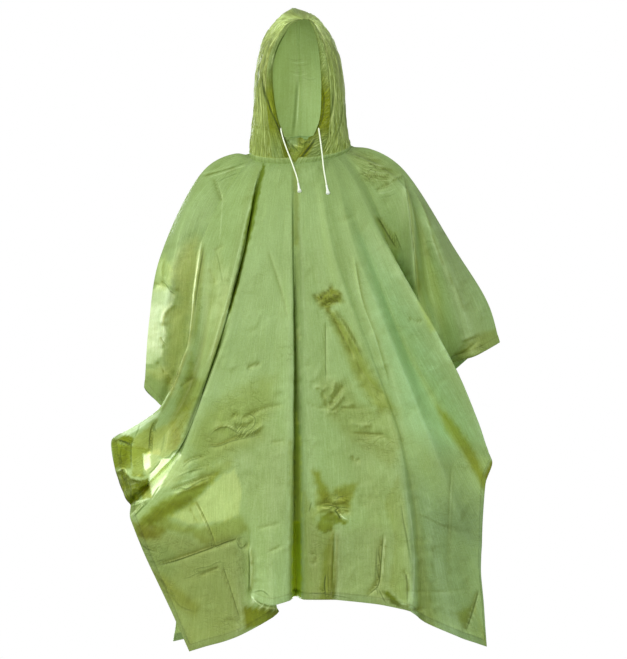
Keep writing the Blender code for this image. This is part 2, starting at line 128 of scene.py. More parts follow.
HOOD_SECTIONS = (
    Section(0, 106, 62, 4, 34, -107, 104, -100, 14, -32, 25, 0.1),
    Section(0, 126, 122, 8, 80, -101, 98, -106, 26, -47, 42, 0.1),
    Section(-1, 130, 190, 8, 140, -99, 95, -108, 30, -57, 46, 0.1),
    Section(-4, 108, 250, 4, 196, -91, 86, -108, 30, -58, 44, 0.3),
    Section(-8, 66, 290, -8, 236, -80, 71, -108, 28, -48, 40, 0.6),
    Section(-13, 18, 307, -30, 262, -61, 53, -106, 24, -34, 34, 0.9),
    Section(-14, -30, 308, -58, 280, -43, 40, -103, 20, -18, 25, 0.9),
    Section(-6, -80, 293, -86, 284, -18, 24, -98, 10, 2, 17, 0.5),
)
# The brim closes over the top of the face opening, where the seam's end is drawn together.
BRIM_END = Section(8, -99.5, 283.5, -101, 282, 6.5, 11.5, -102, 0, 8.6, 10.2, 0.5)
HOOD_MEETS_AT = -7.0
HOOD_STOPS_SHORT = 1.0
HOOD_SAGS_FORWARDS = 0.35
NECK_SEAM_HEIGHT = 7.0

CORD_DIAMETER = 3.0
CORD_RIGHT = (
    (-41, -101.8, 47),
    (-41, -105.8, 44),
    (-37, -103.5, 27),
    (-30, -101.5, 6),
    (-20, -101.5, -20),
    (-10, -104.5, -48),
    (-5.2, -109.6, -64),
    (-4, -113.7, -71),
)
CORD_LEFT = (
    (40, -104.9, 47),
    (40.5, -108.8, 44),
    (43, -107, 27),
    (47, -104, -4),
    (51, -103.5, -40),
    (55.6, -111.6, -67),
    (57, -115.9, -75),
)

# ---------------------------------------------------------------- density of the visible surfaces

# How straight the film runs from one fold to the next: 0 is as round as the solid, 1 is flat.
CRISPNESS = 0.55
# Millimetres from one column of points to the next.
FRONT_STEP = 4.4
BACK_STEP = 5.5
# The front's columns beyond this turn lie further apart, by this share.
OUTER_TURN = 22
OUTER_STEP_SHARE = 1.5
SHEET_ROWS = 190
HOOD_COLUMNS = 240
HOOD_PLACES = 200
CASING_COLUMNS = 26
CASING_PLACES = 480

# One step of the front view's places below is 2.15 mm: x to the wearer's left, y down. The frame's origin lies
# at this place.
STEP = 2.15
ORIGIN_X, ORIGIN_Y = 300, 150


# ---------------------------------------------------------------- curves and grids


def neck_point(turn):
    angle = np.radians(turn)
    height = NECK_HEIGHT - NECK_FRONT_DROP * np.cos(angle) + NECK_SIDE_TILT * np.sin(angle)
    return np.array([NECK_HALF_WIDTH * np.sin(angle), -NECK_HALF_DEPTH * np.cos(angle), height])


def curve_through(points, before=None, closed=False):
    """The centripetal Catmull-Rom curve of the CAD source: place 0 is the first point, 1 the second."""
    if closed:
        padded = np.concatenate([points[-1:], points, points[:2]])
    else:
        first = 2 * points[:1] - points[1:2] if before is None else before[None]
        last = 2 * points[-1:] - points[-2:-1]
        padded = np.concatenate([first, points, last])
    gaps = np.sqrt(np.linalg.norm(np.diff(padded, axis=0), axis=-1, keepdims=True))
    gaps = np.maximum(gaps, 1e-6)

    def at(t):
        i = min(int(t), len(padded) - 4)
        p0, p1, p2, p3 = padded[i : i + 4]
        g0, g1, g2 = gaps[i : i + 3]
        along = (t - i) * g1
        a1 = p0 + (p1 - p0) * (along + g0) / g0
        a2 = p1 + (p2 - p1) * along / g1
        a3 = p2 + (p3 - p2) * (along - g1) / g2
        b1 = a1 + (a2 - a1) * (along + g0) / (g0 + g1)
        b2 = a2 + (a3 - a2) * along / (g1 + g2)
        return b1 + (b2 - b1) * along / g1

    return at


def spaced_along(at, last_place, distances_of):
    line = np.array([at(t) for t in np.linspace(0, last_place, 400)])
    length = np.concatenate([[0], np.cumsum(np.linalg.norm(np.diff(line, axis=0), axis=1))])
    wanted = distances_of(length[-1])
    return np.stack([np.interp(wanted, length, line[:, axis]) for axis in range(3)], axis=1)


# Distances from the sheet's edge: of the rows that shape the welded hem, and where the plain rows stop.
HEM_ROWS = (17.0, 15.6, 14.4, 13.0, 9.0, 4.5, 1.0, 0.0)
PLAIN_ROWS_STOP = 21


def sheet_distances(length):
    """Rows from the neck to the hem, closer together further down, where the film is more wrinkled."""
    share = np.linspace(0, 1, SHEET_ROWS)
    plain = (length - PLAIN_ROWS_STOP) * share * (1.35 - 0.35 * share)
    return np.concatenate([plain, length - np.array(HEM_ROWS)])


def fold_line(fold):
    start = neck_point(fold.turn)
    outwards = neck_point(fold.turn) * (1, 1, 0)
    level = start - SHOULDER_ROUNDING * outwards / np.linalg.norm(outwards)
    at = curve_through(np.array([start, *fold.path], float), before=level)
    return spaced_along(at, len(fold.path), sheet_distances)


def unit(vectors):
    return vectors / np.maximum(np.linalg.norm(vectors, axis=-1, keepdims=True), 1e-9)


def midway(steps):
    return unit(np.concatenate([steps[:1], steps[:-1] + steps[1:], steps[-1:]]))


def normals_of(grid):
    """Unit normals of a grid of points, pointing away from the wearer, sound also where a fold is sharp."""
    down = midway(unit(np.diff(grid, axis=1)).transpose(1, 0, 2)).transpose(1, 0, 2)
    steps = np.diff(grid, axis=0)
    return midway(unit(np.cross(steps, down[:-1] + down[1:])))


# ---------------------------------------------------------------- seeded noise


def gradient_noise(x, y, seed):
    """Smooth noise between about -1 and 1."""
    turns = np.random.default_rng(seed).uniform(0, 2 * np.pi, (64, 64))
    i, j = np.floor(x).astype(int), np.floor(y).astype(int)
    u, v = x - i, y - j
    total = np.zeros_like(u)
    su, sv = u * u * u * (u * (u * 6 - 15) + 10), v * v * v * (v * (v * 6 - 15) + 10)
    for di in (0, 1):
        for dj in (0, 1):
            angle = turns[(i + di) % 64, (j + dj) % 64]
            dot = np.cos(angle) * (u - di) + np.sin(angle) * (v - dj)
            total += dot * (su if di else 1 - su) * (sv if dj else 1 - sv)
    return 1.5 * total


def crumple(x, y, size, seed, layers=7):
    """Creased paper: straight folds in many directions over each other, bent a little. Same units as size."""
    rng = np.random.default_rng(seed)
    x, y = (
        x + 0.5 * size * gradient_noise(x / size, y / size, seed + 1),
        y + 0.5 * size * gradient_noise(x / size, y / size, seed + 2),
    )
    total = np.zeros_like(x)
    for _ in range(layers):
        angle, phase = rng.uniform(0, np.pi), rng.uniform(0, 1)
        wave = size * rng.uniform(0.8, 2.2)
        along = (np.cos(angle) * x + np.sin(angle) * y) / wave + phase
        total += wave / size * (np.abs(2 * (along % 1) - 1) - 0.5)
    return total / layers


# ---------------------------------------------------------------- listed creases

Crease = namedtuple("Crease", "height width points")
Patch = namedtuple("Patch", "x y radius_x radius_y turn height size seed")
Shade = namedtuple("Shade", "name tint soft crinkle points")
Stroke = namedtuple("Stroke", "tint width points")


def table(kind, rows):
    return tuple(kind(*row) for row in rows)


def smooth(share):
    return share * share * (3 - 2 * share)


def faded_ends(share, reach):
    """1 along the middle of a line, falling to 0 at both its ends."""
    return np.clip(np.minimum(share, 1 - share) / reach, 0, 1)


def near_line(points, x, y):
    """(distance, share along, side) of places from a line through points; the side is 1 or -1."""
    points = np.array(points, float)
    best = np.full(x.shape, 1e9)
    share, side = np.zeros_like(x), np.ones_like(x)
    lengths = np.linalg.norm(np.diff(points, axis=0), axis=1)
    total, gone = lengths.sum(), 0.0
    for a, b, length in zip(points[:-1], points[1:], lengths):
        dx, dy = b - a
        along = np.clip(((x - a[0]) * dx + (y - a[1]) * dy) / length**2, 0, 1)
        distance = np.hypot(x - a[0] - along * dx, y - a[1] - along * dy)
        closer = distance < best
        best = np.where(closer, distance, best)
        share = np.where(closer, (gone + along * length) / total, share)
        side = np.where(closer, np.where((x - a[0]) * dy > (y - a[1]) * dx, 1, -1), side)
        gone += length
    return best, share, side


def smooth_line(points, steps):
    """The line through points as a smooth curve, in short steps."""
    points = np.array(points, float)
    if len(points) < 3:
        return points
    at = curve_through(points)
    return np.array([at(t) for t in np.linspace(0, len(points) - 1, steps * (len(points) - 1) + 1)])


def within(points, reach, x, y):
    """Which places lie in the box round some points, widened by reach."""
    low, high = np.min(points, axis=0) - reach, np.max(points, axis=0) + reach
    return (x > low[0]) & (x < high[0]) & (y > low[1]) & (y < high[1])


def lines_near(rows, x, y, steps, margin=0.0, widths=0.0):
    """For each crease or stroke that comes near: it, the places near it, and near_line's values there."""
    for row in rows:
        line = smooth_line(row.points, steps)
        near = within(line, margin + widths * row.width, x, y)
        if near.any():
            yield (row, near, *near_line(line, x[near], y[near]))


def creased(creases, x, y):
    """How far the creases stand out at these places of the front view."""
    total = np.zeros_like(x)
    for crease, near, distance, share, _ in lines_near(creases, x, y, 6, widths=3):
        total[near] += crease.height * smooth(faded_ends(share, 0.18)) * np.exp(-distance / crease.width)
    return total


def patched(patches, x, y):
    """Crumples inside soft-edged ovals. They run along the oval's long axis."""
    total = np.zeros_like(x)
    for patch in patches:
        angle = np.radians(patch.turn)
        along = ((x - patch.x) * np.cos(angle) + (y - patch.y) * np.sin(angle)) / patch.radius_x
        across = (-(x - patch.x) * np.sin(angle) + (y - patch.y) * np.cos(angle)) / patch.radius_y
        weight = np.clip(1.25 - np.hypot(along, across), 0, 1) ** 1.5
        inside = weight > 0
        if inside.any():
            longer = max(patch.radius_x, patch.radius_y)
            lengthwise = along[inside] * patch.radius_x * patch.radius_y / longer
            folds = crumple(lengthwise, across[inside] * patch.radius_y, patch.size, patch.seed)
            total[inside] += patch.height * weight[inside] * folds
    return total


# How far each stands out in millimetres before the shared lift, how wide it is in steps, and where.
FRONT_CREASES = table(Crease, (
    # shoulders
    (1.6, 1.6, ((199, 175), (214, 171), (236, 165))),
    (-1.2, 1.5, ((214, 178), (218, 190), (223, 204))),
    (-1.0, 1.5, ((214, 252), (219, 248), (225, 245))),
    (-1.0, 1.6, ((209, 268), (213, 276), (216, 285))),
    (1.8, 1.5, ((356, 166), (367, 174), (376, 174), (389, 176))),
    (1.8, 1.4, ((359, 157), (371, 163), (384, 167), (394, 169))),
    (1.5, 1.4, ((352, 152), (366, 157), (382, 159))),
    (-1.5, 1.4, ((376, 191), (384, 187), (391, 183))),
    (1.6, 1.4, ((390, 180), (397, 177), (404, 174))),
    # left sleeve
    (2.8, 1.5, ((202, 238), (199, 260), (196, 281), (192.5, 305), (190, 329), (186.5, 348))),
    (2.4, 1.5, ((186.5, 346), (178, 372), (166, 400), (158, 414))),
    (-2.2, 1.4, ((161, 280), (167, 288), (176, 295))),
    (1.8, 1.3, ((163, 276), (170, 284), (178, 291))),
    (-1.8, 1.4, ((153, 283), (160, 286), (166, 292))),
    (-1.6, 1.4, ((160, 337), (163, 343), (165, 349))),
    (-1.6, 1.4, ((156, 362), (162, 368), (165, 375))),
    (1.5, 1.5, ((163, 258), (161, 268), (162, 280))),
    (1.5, 1.5, ((176, 303), (168, 309), (163, 315), (161, 326))),
    (-1.4, 1.4, ((180, 388), (188, 382), (196, 377))),
    # beside the left pleat
    (1.8, 1.6, ((238, 262), (232, 286), (224, 312), (216, 340), (206, 370))),
    # chest, right-hand side
    (-1.0, 1.6, ((267, 246), (275, 270), (283, 295), (290, 324))),
    (-2.0, 1.5, ((247, 369), (253, 366), (262, 364))),
    (-1.2, 1.6, ((250, 414), (260, 410), (271, 407), (286, 405))),
    (2.2, 1.6, ((209, 432), (220, 426), (230, 427), (239, 433), (248, 434), (258, 429), (266, 421))),
    (-2.2, 1.5, ((230, 420), (236, 415), (244, 418), (252, 414), (260, 411))),
    (-1.8, 1.4, ((234, 424), (241, 427), (250, 424), (256, 418))),
    (-2.0, 1.6, ((207, 445), (220, 445), (232, 440), (246, 436), (262, 433))),
    (-1.0, 1.5, ((270, 443), (278, 442), (287, 441))),
    (-2.4, 1.5, ((168, 490), (175, 489), (185, 485), (202, 479), (221, 471))),
    (1.6, 1.5, ((172, 497), (184, 490), (198, 485), (210, 480))),
    (-1.4, 1.5, ((183, 464), (195, 458), (206, 457))),
    (-1.2, 1.4, ((188, 474), (200, 468), (213, 465))),
    # the lower right-hand corner
    (-2.0, 1.5, ((196, 500), (205, 518), (211, 532), (216, 547))),
    (-1.2, 1.4, ((190, 508), (197, 520), (201, 527))),
    (-2.6, 1.7, ((156, 566), (175, 560), (195, 553), (216, 546), (247, 536))),
    (-1.6, 1.6, ((221, 565), (232, 592), (243, 624))),
    (-1.8, 1.6, ((239, 538), (244, 547), (250, 543))),
    (-1.2, 1.4, ((198, 577), (210, 571), (221, 567))),
    (-1.2, 1.6, ((150, 572), (160, 578), (170, 590))),
    (-1.6, 1.6, ((138, 541), (148, 548), (160, 552))),
    (2.4, 1.7, ((249, 541), (251, 566), (250, 592))),
    (-1.0, 1.4, ((256, 529), (268, 526), (281, 523))),
    (-1.2, 1.5, ((268, 552), (275, 549), (283, 545))),
    (2.2, 1.6, ((251, 592), (258, 604), (270, 608), (287, 608))),
    # pack creases, from the way the poncho was folded
    (-0.9, 1.5, ((325.8, 318), (325.8, 352), (326, 386))),
    (-0.9, 1.5, ((453, 457), (450, 500), (449, 560), (450, 602))),
    (0.9, 1.5, ((432, 524), (431, 560), (430, 600))),
    (-0.9, 1.5, ((415, 513), (430, 519), (444, 526), (480, 533))),
    (0.8, 1.5, ((426, 461), (446, 464), (470, 468))),
    (-0.8, 1.5, ((303, 400), (316, 407), (330, 409), (380, 407))),
    (-0.8, 1.5, ((400, 590), (430, 592), (468, 590))),
    # the bent streak and the two stars
    (-2.6, 1.5, ((319, 303), (316, 298), (315, 293))),
    (-2.6, 1.5, ((319, 303), (323, 296), (330, 289), (336, 286))),
    (2.4, 1.4, ((320, 305), (327, 299), (334, 295), (342, 293))),
    (-2.4, 1.5, ((321, 304), (330, 303), (341, 302))),
    (2.0, 1.4, ((318, 301), (326, 292), (330, 287))),
    (-2.6, 1.6, ((326, 309), (335, 320), (343, 336), (350, 349), (355, 360))),
    (2.2, 1.5, ((330, 309), (340, 319), (349, 334), (357, 348), (362, 358))),
    (-2.0, 1.5, ((334, 310), (346, 322), (354, 336), (361, 348))),
    (-1.6, 1.7, ((355, 358), (364, 374), (374, 386), (386, 398))),
    (1.6, 1.4, ((313, 389), (319, 387), (323, 389), (328, 386))),
    (-2.6, 1.5, ((328, 409), (334, 399), (339, 391), (345, 384))),
    (2.2, 1.4, ((330, 409), (338, 402), (345, 394))),
    (-2.2, 1.5, ((328, 409), (325, 400), (322, 391))),
    (2.2, 1.4, ((326, 409), (333, 412), (344, 406), (356, 404))),
    (-2.0, 1.5, ((330, 411), (338, 409), (347, 407))),
    (1.6, 1.4, ((331, 396), (334, 388), (335, 380))),
    (-1.6, 1.5, ((348, 432), (362, 434), (384, 436), (394, 446))),
    (1.6, 1.4, ((350, 421), (360, 426), (372, 424))),
    (-1.6, 1.4, ((352, 455), (355, 461), (361, 459))),
    # the deep crumple above the hem
    (-3.6, 1.7, ((314, 507), (324, 504), (335, 506), (344, 517))),
    (2.6, 1.5, ((316, 511), (326, 509), (334, 511), (341, 520))),
    (2.4, 1.5, ((330, 503), (338, 502), (348, 500))),
    (-2.2, 1.5, ((335, 510), (341, 513), (350, 511))),
    (2.8, 2.0, ((336, 526), (335, 550), (334, 572), (333, 594))),
    (-1.6, 1.5, ((311, 552), (316, 557), (314, 566))),
    (-2.4, 1.6, ((384, 532), (381, 552), (379, 578), (371, 591), (364, 598))),
    (1.8, 1.6, ((386, 534), (383, 556), (382, 580))),
    (-2.4, 1.7, ((381, 590), (391, 601), (407, 610), (428, 608))),
    (2.2, 1.6, ((385, 588), (396, 600), (409, 606))),
    (-1.8, 1.6, ((403, 567), (408, 580), (409, 600))),
    # right-hand side of the picture: armpit, sleeve, side
    (-1.6, 2.4, ((375, 217), (382, 224), (390, 236), (398, 250))),
    (3.0, 1.8, ((403, 172), (408, 200), (412, 236), (416, 272), (419, 301))),
    (1.8, 1.6, ((409, 181), (425, 211), (437, 251), (455, 289), (470, 325))),
    (-1.8, 1.6, ((453, 357), (467, 351), (479, 341))),
    (1.6, 1.5, ((456, 360), (470, 356), (484, 352))),
    (-2.2, 1.6, ((479, 588), (473, 610), (464, 634))),
    (1.8, 1.8, ((353, 250), (362, 300), (375, 336), (390, 388))),
    (-1.4, 1.6, ((408, 318), (414, 321), (424, 322))),
))

FRONT_PATCHES = table(Patch, (
    (222, 166, 22, 8, -20, 2.2, 7, 71),
    (372, 168, 26, 12, 14, 1.8, 6, 72),
    (246, 424, 20, 12, -8, 2.6, 6, 73),
    (329, 298, 15, 10, -20, 3.4, 5, 74),
    (350, 345, 24, 7, 58, 2.6, 5, 75),
    (335, 400, 18, 14, -40, 2.4, 6, 76),
    (368, 435, 26, 14, 10, 2.0, 7, 77),
    (334, 508, 20, 11, 10, 3.6, 6, 78),
    (388, 232, 16, 9, 55, 0.4, 9, 79),
    (132, 486, 20, 18, 0, 7.0, 10, 80),
    (160, 322, 10, 40, 6, 1.2, 9, 81),
    (470, 342, 18, 9, -25, 3.0, 7, 82),
    (200, 476, 40, 16, -25, 2.0, 8, 83),
    (172, 380, 18, 16, 0, 2.2, 8, 84),
    (395, 600, 22, 8, 10, 3.0, 7, 85),
))

BACK_CREASES = table(Crease, (
    (1.6, 1.6, ((352, 162), (368, 172), (388, 176))),
    (-1.4, 1.5, ((246, 166), (230, 174), (214, 186))),
    (-1.2, 1.6, ((300, 290), (300, 380), (301, 470))),
    (-0.8, 1.5, ((212, 392), (256, 389), (300, 390), (346, 391), (396, 397))),
    (-0.8, 1.5, ((200, 500), (252, 497), (300, 498), (352, 500), (418, 509))),
    (-2.6, 1.6, ((264, 318), (257, 334), (253, 352), (244, 372))),
    (2.2, 1.5, ((269, 320), (262, 336), (258, 354))),
    (-2.4, 1.5, ((338, 430), (347, 421), (360, 415))),
    (2.2, 1.4, ((339, 434), (349, 426), (361, 421))),
    (-2.4, 1.5, ((337, 431), (331, 442), (326, 455))),
    (-2.2, 1.5, ((336, 429), (326, 424), (317, 423))),
    (-2.4, 1.6, ((270, 546), (282, 538), (296, 536))),
    (2.0, 1.6, ((272, 551), (284, 543), (297, 541))),
    (-2.2, 1.6, ((216, 556), (208, 584), (200, 612))),
    (2.0, 1.6, ((392, 548), (400, 580), (408, 606))),
    (1.8, 1.5, ((420, 226), (436, 262), (450, 300))),
    (-1.8, 1.5, ((186, 240), (176, 280), (170, 320))),
))

BACK_PATCHES = table(Patch, (
    (262, 332, 12, 18, 20, 3.0, 6, 171),
    (338, 428, 18, 12, -20, 3.2, 6, 172),
    (284, 540, 18, 9, -15, 3.0, 6, 173),
    (232, 176, 24, 9, -16, 2.2, 7, 174),
    (372, 172, 24, 10, 14, 2.4, 7, 175),
    (404, 590, 14, 16, 0, 2.6, 8, 176),
))

# Painted shade and painted highlights of named places, where the film lies in folds or catches the light: its
# colour there as a share of the plain film's, how soft the edge is in steps, and how crinkled it is.
FRONT_SHADES = table(Shade, (
    ("lower_right_tone", (0.62, 0.645, 0.66), 24, 0.3, (
        (404, 470), (440, 500), (494, 500), (494, 655), (410, 620))),
    ("right_side_tone", (1.12, 1.24, 1.5), 16, 0.25, (
        (362, 240), (385, 270), (420, 330), (478, 440), (440, 450), (405, 420), (380, 330))),
    ("lower_middle_tone", (0.93, 0.9, 0.88), 16, 0.3, ((214, 440), (290, 440), (290, 520), (246, 520))),
    ("star_tone", (0.92, 0.89, 0.85), 14, 0.3, ((340, 430), (394, 440), (402, 520), (352, 510))),
    ("right_lower_side", (0.9, 0.9, 0.93), 8, 0.3, (
        (430, 436), (466, 452), (484, 500), (478, 545), (440, 530))),
    ("lower_left_tone", (0.84, 0.8, 0.72), 14, 0.3, ((130, 520), (243, 530), (246, 640), (186, 656))),
    ("sleeve_glare_head", (1.3, 1.24, 1.15), 3, 0.2, (
        (158, 260), (165, 254), (171, 267), (171, 285), (160, 290), (153, 290))),
    ("sleeve_glare", (1.72, 1.54, 2.1), 1.3, 0.05, (
        (148, 292), (160, 284), (168, 288), (175.5, 297), (172, 304), (165, 311), (163, 322), (166, 334),
        (162, 345),
        (161, 356), (152, 364), (140, 363), (140, 310))),
    ("sleeve_glare_core", (1.4, 1.3, 1.6), 6, 0.05, ((140, 306), (160, 304), (159, 350), (140, 352))),
    ("sleeve_olive", (1.66, 1.38, 1.3), 9, 0.3, (
        (184, 246), (196, 238), (198, 262), (192, 300), (188, 345), (172, 392), (160, 378), (150, 372),
        (163, 366),
        (168, 340), (167, 312), (178, 303), (177, 292), (172, 270))),
    ("ridge_shade", (0.8, 0.76, 0.42), 4, 0.3, (
        (192, 352), (195, 378), (204, 382), (197, 400), (188, 419), (180, 441), (174, 452), (166, 450),
        (170, 424), (182, 384))),
    ("ridge_foot", (0.8, 0.75, 0.3), 4, 0.3, (
        (196, 398), (188, 420), (180, 442), (174, 450), (172, 432), (184, 404))),
    ("beside_ridge", (1.14, 1.08, 1.1), 5, 0.1, (
        (202, 270), (219, 251), (229, 287), (227, 311), (219, 345), (210, 371), (201, 384), (195, 378),
        (197, 359),
        (201, 333), (202, 296))),
    ("pleat_wedge", (0.44, 0.48, 0.06), 1.2, 0.2, (
        (263, 163), (265.5, 166), (259.4, 196), (252.4, 232), (245.4, 256), (237.6, 288), (231.6, 310),
        (228.5, 316), (230, 302), (237, 272), (241.8, 250), (246.6, 222), (253.6, 192))),
    ("by_the_wedge", (0.93, 0.91, 0.82), 4, 0.2, (
        (256, 166), (262, 168), (250, 200), (240, 245), (228, 300), (212, 350), (204, 366), (214, 320),
        (232, 250),
        (244, 200))),
    ("sleeve_right_tone", (0.9, 0.87, 0.84), 9, 0.3, (
        (440, 236), (462, 270), (484, 318), (494, 340), (462, 356), (448, 322), (438, 280))),
    ("sleeve_foot", (0.92, 0.9, 0.78), 5, 0.5, ((140, 372), (178, 372), (160, 410), (140, 392))),
    ("flap_top", (1.7, 1.55, 2.3), 1.2, 0.1, (
        (121, 434), (140, 420), (150, 416), (160, 411), (158, 416), (146, 425), (133, 432), (129, 436))),
    ("flap_corner", (0.45, 0.43, 0.02), 1.0, 0.5, (
        (111, 440), (126, 435), (134, 437), (131, 446), (120, 443))),
    ("flap_face", (0.6, 0.57, 0.08), 1.2, 0.5, ((111, 441), (131, 446), (131, 469), (122, 468), (113, 470))),
    ("flap_top_face", (0.84, 0.76, 0.42), 2, 0.3, (
        (134, 438), (146, 428), (157, 419), (153, 432), (150, 450), (131, 447))),
    ("flap_face_shade", (0.72, 0.7, 0.3), 2.0, 0.5, (
        (121, 447), (128, 448), (127, 466), (118, 466), (120, 456))),
    ("flap_middle", (0.8, 0.75, 0.28), 1.2, 0.4, (
        (131, 446), (150, 449), (150, 453), (143, 455), (144, 478), (132, 476))),
    ("flap_pleats", (1.05, 0.95, 0.7), 2.0, 0.3, (
        (150, 432), (176, 420), (182, 440), (172, 454), (162, 458), (150, 452))),
    ("flap_pale", (1.35, 1.22, 1.3), 1.5, 0.2, (
        (150, 452), (160, 448), (160, 460), (152, 470), (148, 475), (143, 472))),
    ("flap_piece", (2.4, 2.1, 3.4), 0.8, 0.1, (
        (143, 454), (148, 453), (150, 451), (150.5, 466), (146, 471), (143.5, 468))),
    ("flap_beside", (1.22, 1.14, 1.15), 3, 0.3, (
        (181, 455), (190, 460), (186, 474), (172, 486), (160, 488), (171, 468))),
    ("flap_glare", (2.7, 2.3, 3.8), 0.9, 0.1, (
        (161, 459), (170, 458), (174, 453), (180, 451), (181, 455), (171, 468), (163, 482), (158, 490),
        (152, 498),
        (151, 490), (149, 485), (150, 474), (155, 469))),
    ("flap_hollow", (0.34, 0.33, 0.0), 1.0, 0.8, (
        (113, 471), (124, 470), (130, 478), (141, 480), (148, 478), (150, 486), (144, 494), (138, 500),
        (130, 506),
        (122, 499), (116, 484))),
    ("flap_inside", (0.95, 0.85, 0.4), 1.0, 0.5, (
        (144, 480), (150, 486), (152, 497), (142, 500), (141, 490))),
    ("under_rim", (0.62, 0.62, 0.4), 1.0, 0.3, ((131, 507), (146, 502), (131, 516))),
    ("under_flap", (0.62, 0.58, 0.12), 4, 0.2, (
        (144, 520), (158, 507), (175, 499), (192, 496), (196, 503), (176, 512), (166, 520), (150, 527))),
    ("left_edge_olive", (0.7, 0.62, 0.2), 4, 0.3, (
        (132, 522), (150, 526), (166, 528), (160, 538), (146, 540), (137, 538))),
    ("triangle", (1.36, 1.24, 1.16), 1.3, 0.05, (
        (235, 469), (224, 474), (213, 483), (197, 500), (186, 508), (171, 516), (190, 524), (201, 523),
        (225, 521),
        (239, 514), (241, 497), (241, 484))),
    ("triangle_shade", (0.68, 0.65, 0.2), 3, 0.3, (
        (134, 528), (148, 510), (166, 498), (184, 489), (204, 480), (220, 470), (212, 484), (197, 498),
        (182, 507),
        (166, 514), (156, 524), (138, 538))),
    ("triangle_head", (0.88, 0.84, 0.6), 4, 0.3, (
        (186, 488), (204, 470), (232, 458), (234, 467), (210, 482), (194, 492))),
    ("below_triangle", (0.8, 0.77, 0.46), 3, 0.4, (
        (164, 517), (178, 524), (200, 528), (216, 523), (241, 515), (250, 530), (226, 540), (204, 545),
        (190, 534),
        (168, 530), (150, 538), (140, 536))),
    ("panel_cool", (0.82, 0.87, 0.84), 6, 0.3, ((140, 544), (166, 544), (182, 560), (170, 578), (150, 566))),
    ("panel_olive", (0.84, 0.8, 0.5), 5, 0.3, ((150, 570), (168, 578), (200, 606), (196, 616), (168, 600))),
    ("corner_panel", (0.84, 0.8, 0.68), 9, 0.45, (
        (134, 530), (238, 540), (246, 560), (246, 640), (190, 660), (150, 590))),
    ("beside_crest", (0.84, 0.8, 0.78), 10, 0.3, (
        (306, 524), (330, 530), (372, 524), (398, 530), (400, 612), (306, 604))),
    ("belly_crumples", (0.86, 0.82, 0.56), 9, 0.45, (
        (205, 410), (225, 396), (262, 376), (276, 378), (274, 402), (262, 440), (220, 462), (198, 472),
        (190, 440))),
    ("curl_shade", (0.54, 0.48, 0.06), 1.8, 0.3, (
        (243, 606), (258, 607), (287, 611), (262, 626), (243, 630))),
    ("pleat_floor_top", (1.8, 1.6, 1.1), 2, 0.1, (
        (296, 412), (300.5, 440), (301.5, 522), (294.8, 522), (294.8, 450))),
    ("pleat_floor", (1.4, 1.36, 0.3), 1.2, 0.1, ((300.5, 522), (301.5, 602), (292, 602), (292.8, 522))),
    ("pleat_band", (0.86, 0.82, 0.6), 2, 0.1, ((293, 168), (299, 168), (299, 246), (293, 246))),
    ("pleat_light_top", (1.3, 1.24, 1.25), 2, 0.1, ((294.5, 240), (299, 240), (300, 340), (295.5, 340))),
    ("pleat_light", (1.5, 1.34, 1.6), 2, 0.1, ((295, 328), (299.5, 328), (301, 424), (295, 424))),
    ("pleat_lip", (0.84, 0.82, 0.6), 1.6, 0.1, ((289, 440), (293, 440), (293, 600), (289.5, 600))),
    ("streak_head", (0.62, 0.55, 0.14), 3, 0.8, (
        (314, 296), (331, 287), (341, 292), (344, 301), (333, 305), (329, 312), (319, 306))),
    ("streak", (0.76, 0.7, 0.34), 5, 0.5, (
        (326, 309), (335, 311), (346, 324), (356, 340), (364, 356), (372, 372), (388, 396), (397, 412),
        (380, 412),
        (366, 396), (356, 380), (348, 362), (338, 338), (330, 320))),
    ("star", (0.88, 0.84, 0.68), 6, 0.5, (
        (318, 380), (346, 380), (360, 404), (398, 412), (404, 440), (392, 470), (372, 452), (350, 440),
        (326, 414))),
    ("star_left_arm", (0.7, 0.64, 0.18), 3.5, 0.4, (
        (311, 471), (319, 470), (327, 488), (331, 500), (322, 503), (317, 488))),
    ("star_right_arm", (0.78, 0.73, 0.32), 3, 0.4, (
        (333, 488), (345, 484), (358, 482), (354, 495), (350, 508), (338, 505))),
    ("star_middle", (0.84, 0.78, 0.42), 5, 0.6, ((316, 492), (350, 492), (350, 514), (314, 516))),
    ("star_foot", (0.54, 0.52, 0.1), 1.4, 0.4, (
        (331, 511), (338, 515), (347, 521), (345, 525), (335, 523), (332, 531), (322, 534), (317, 527),
        (321, 516))),
    ("beside_pleat", (0.86, 0.83, 0.6), 2.5, 0.4, (
        (304, 490), (316, 516), (320, 532), (333, 528), (334, 560), (333.5, 602), (303, 602))),
    ("panel_fold", (0.78, 0.77, 0.38), 2.5, 0.4, (
        (324, 548), (333, 534), (333.5, 602), (319, 602), (322, 570))),
    ("by_the_crest", (0.92, 0.89, 0.7), 3, 0.4, (
        (398, 474), (408, 520), (412, 573), (407, 606), (389, 587), (394, 538), (384, 503))),
    ("hem_curl", (0.42, 0.44, 0.04), 1.6, 0.4, ((383, 591), (388, 590), (396, 598), (403, 606), (392, 604))),
    ("armpit", (0.92, 0.9, 0.66), 3, 0.5, (
        (374, 216), (382, 219), (392, 231), (397, 233), (401, 249), (396, 262), (384, 237))),
    ("sleeve_middle", (1.2, 1.22, 1.3), 5, 0.2, (
        (424, 258), (438, 262), (452, 300), (460, 344), (448, 352), (436, 326), (428, 298))),
    ("sleeve_band", (0.96, 0.92, 0.6), 3, 0.1, (
        (415, 252), (421, 274), (426, 300), (436, 330), (431, 332), (420, 309), (415, 292))),
    ("armpit_light", (1.22, 1.24, 1.36), 4, 0.2, (
        (388, 246), (401, 252), (414, 300), (428, 322), (446, 362), (452, 362), (424, 312), (402, 268))),
    ("side_band", (0.74, 0.68, 0.22), 3, 0.2, (
        (436, 406), (448, 414), (466, 437), (477, 456), (487, 482), (489, 500), (483, 490), (474, 472),
        (461, 451),
        (445, 430))),
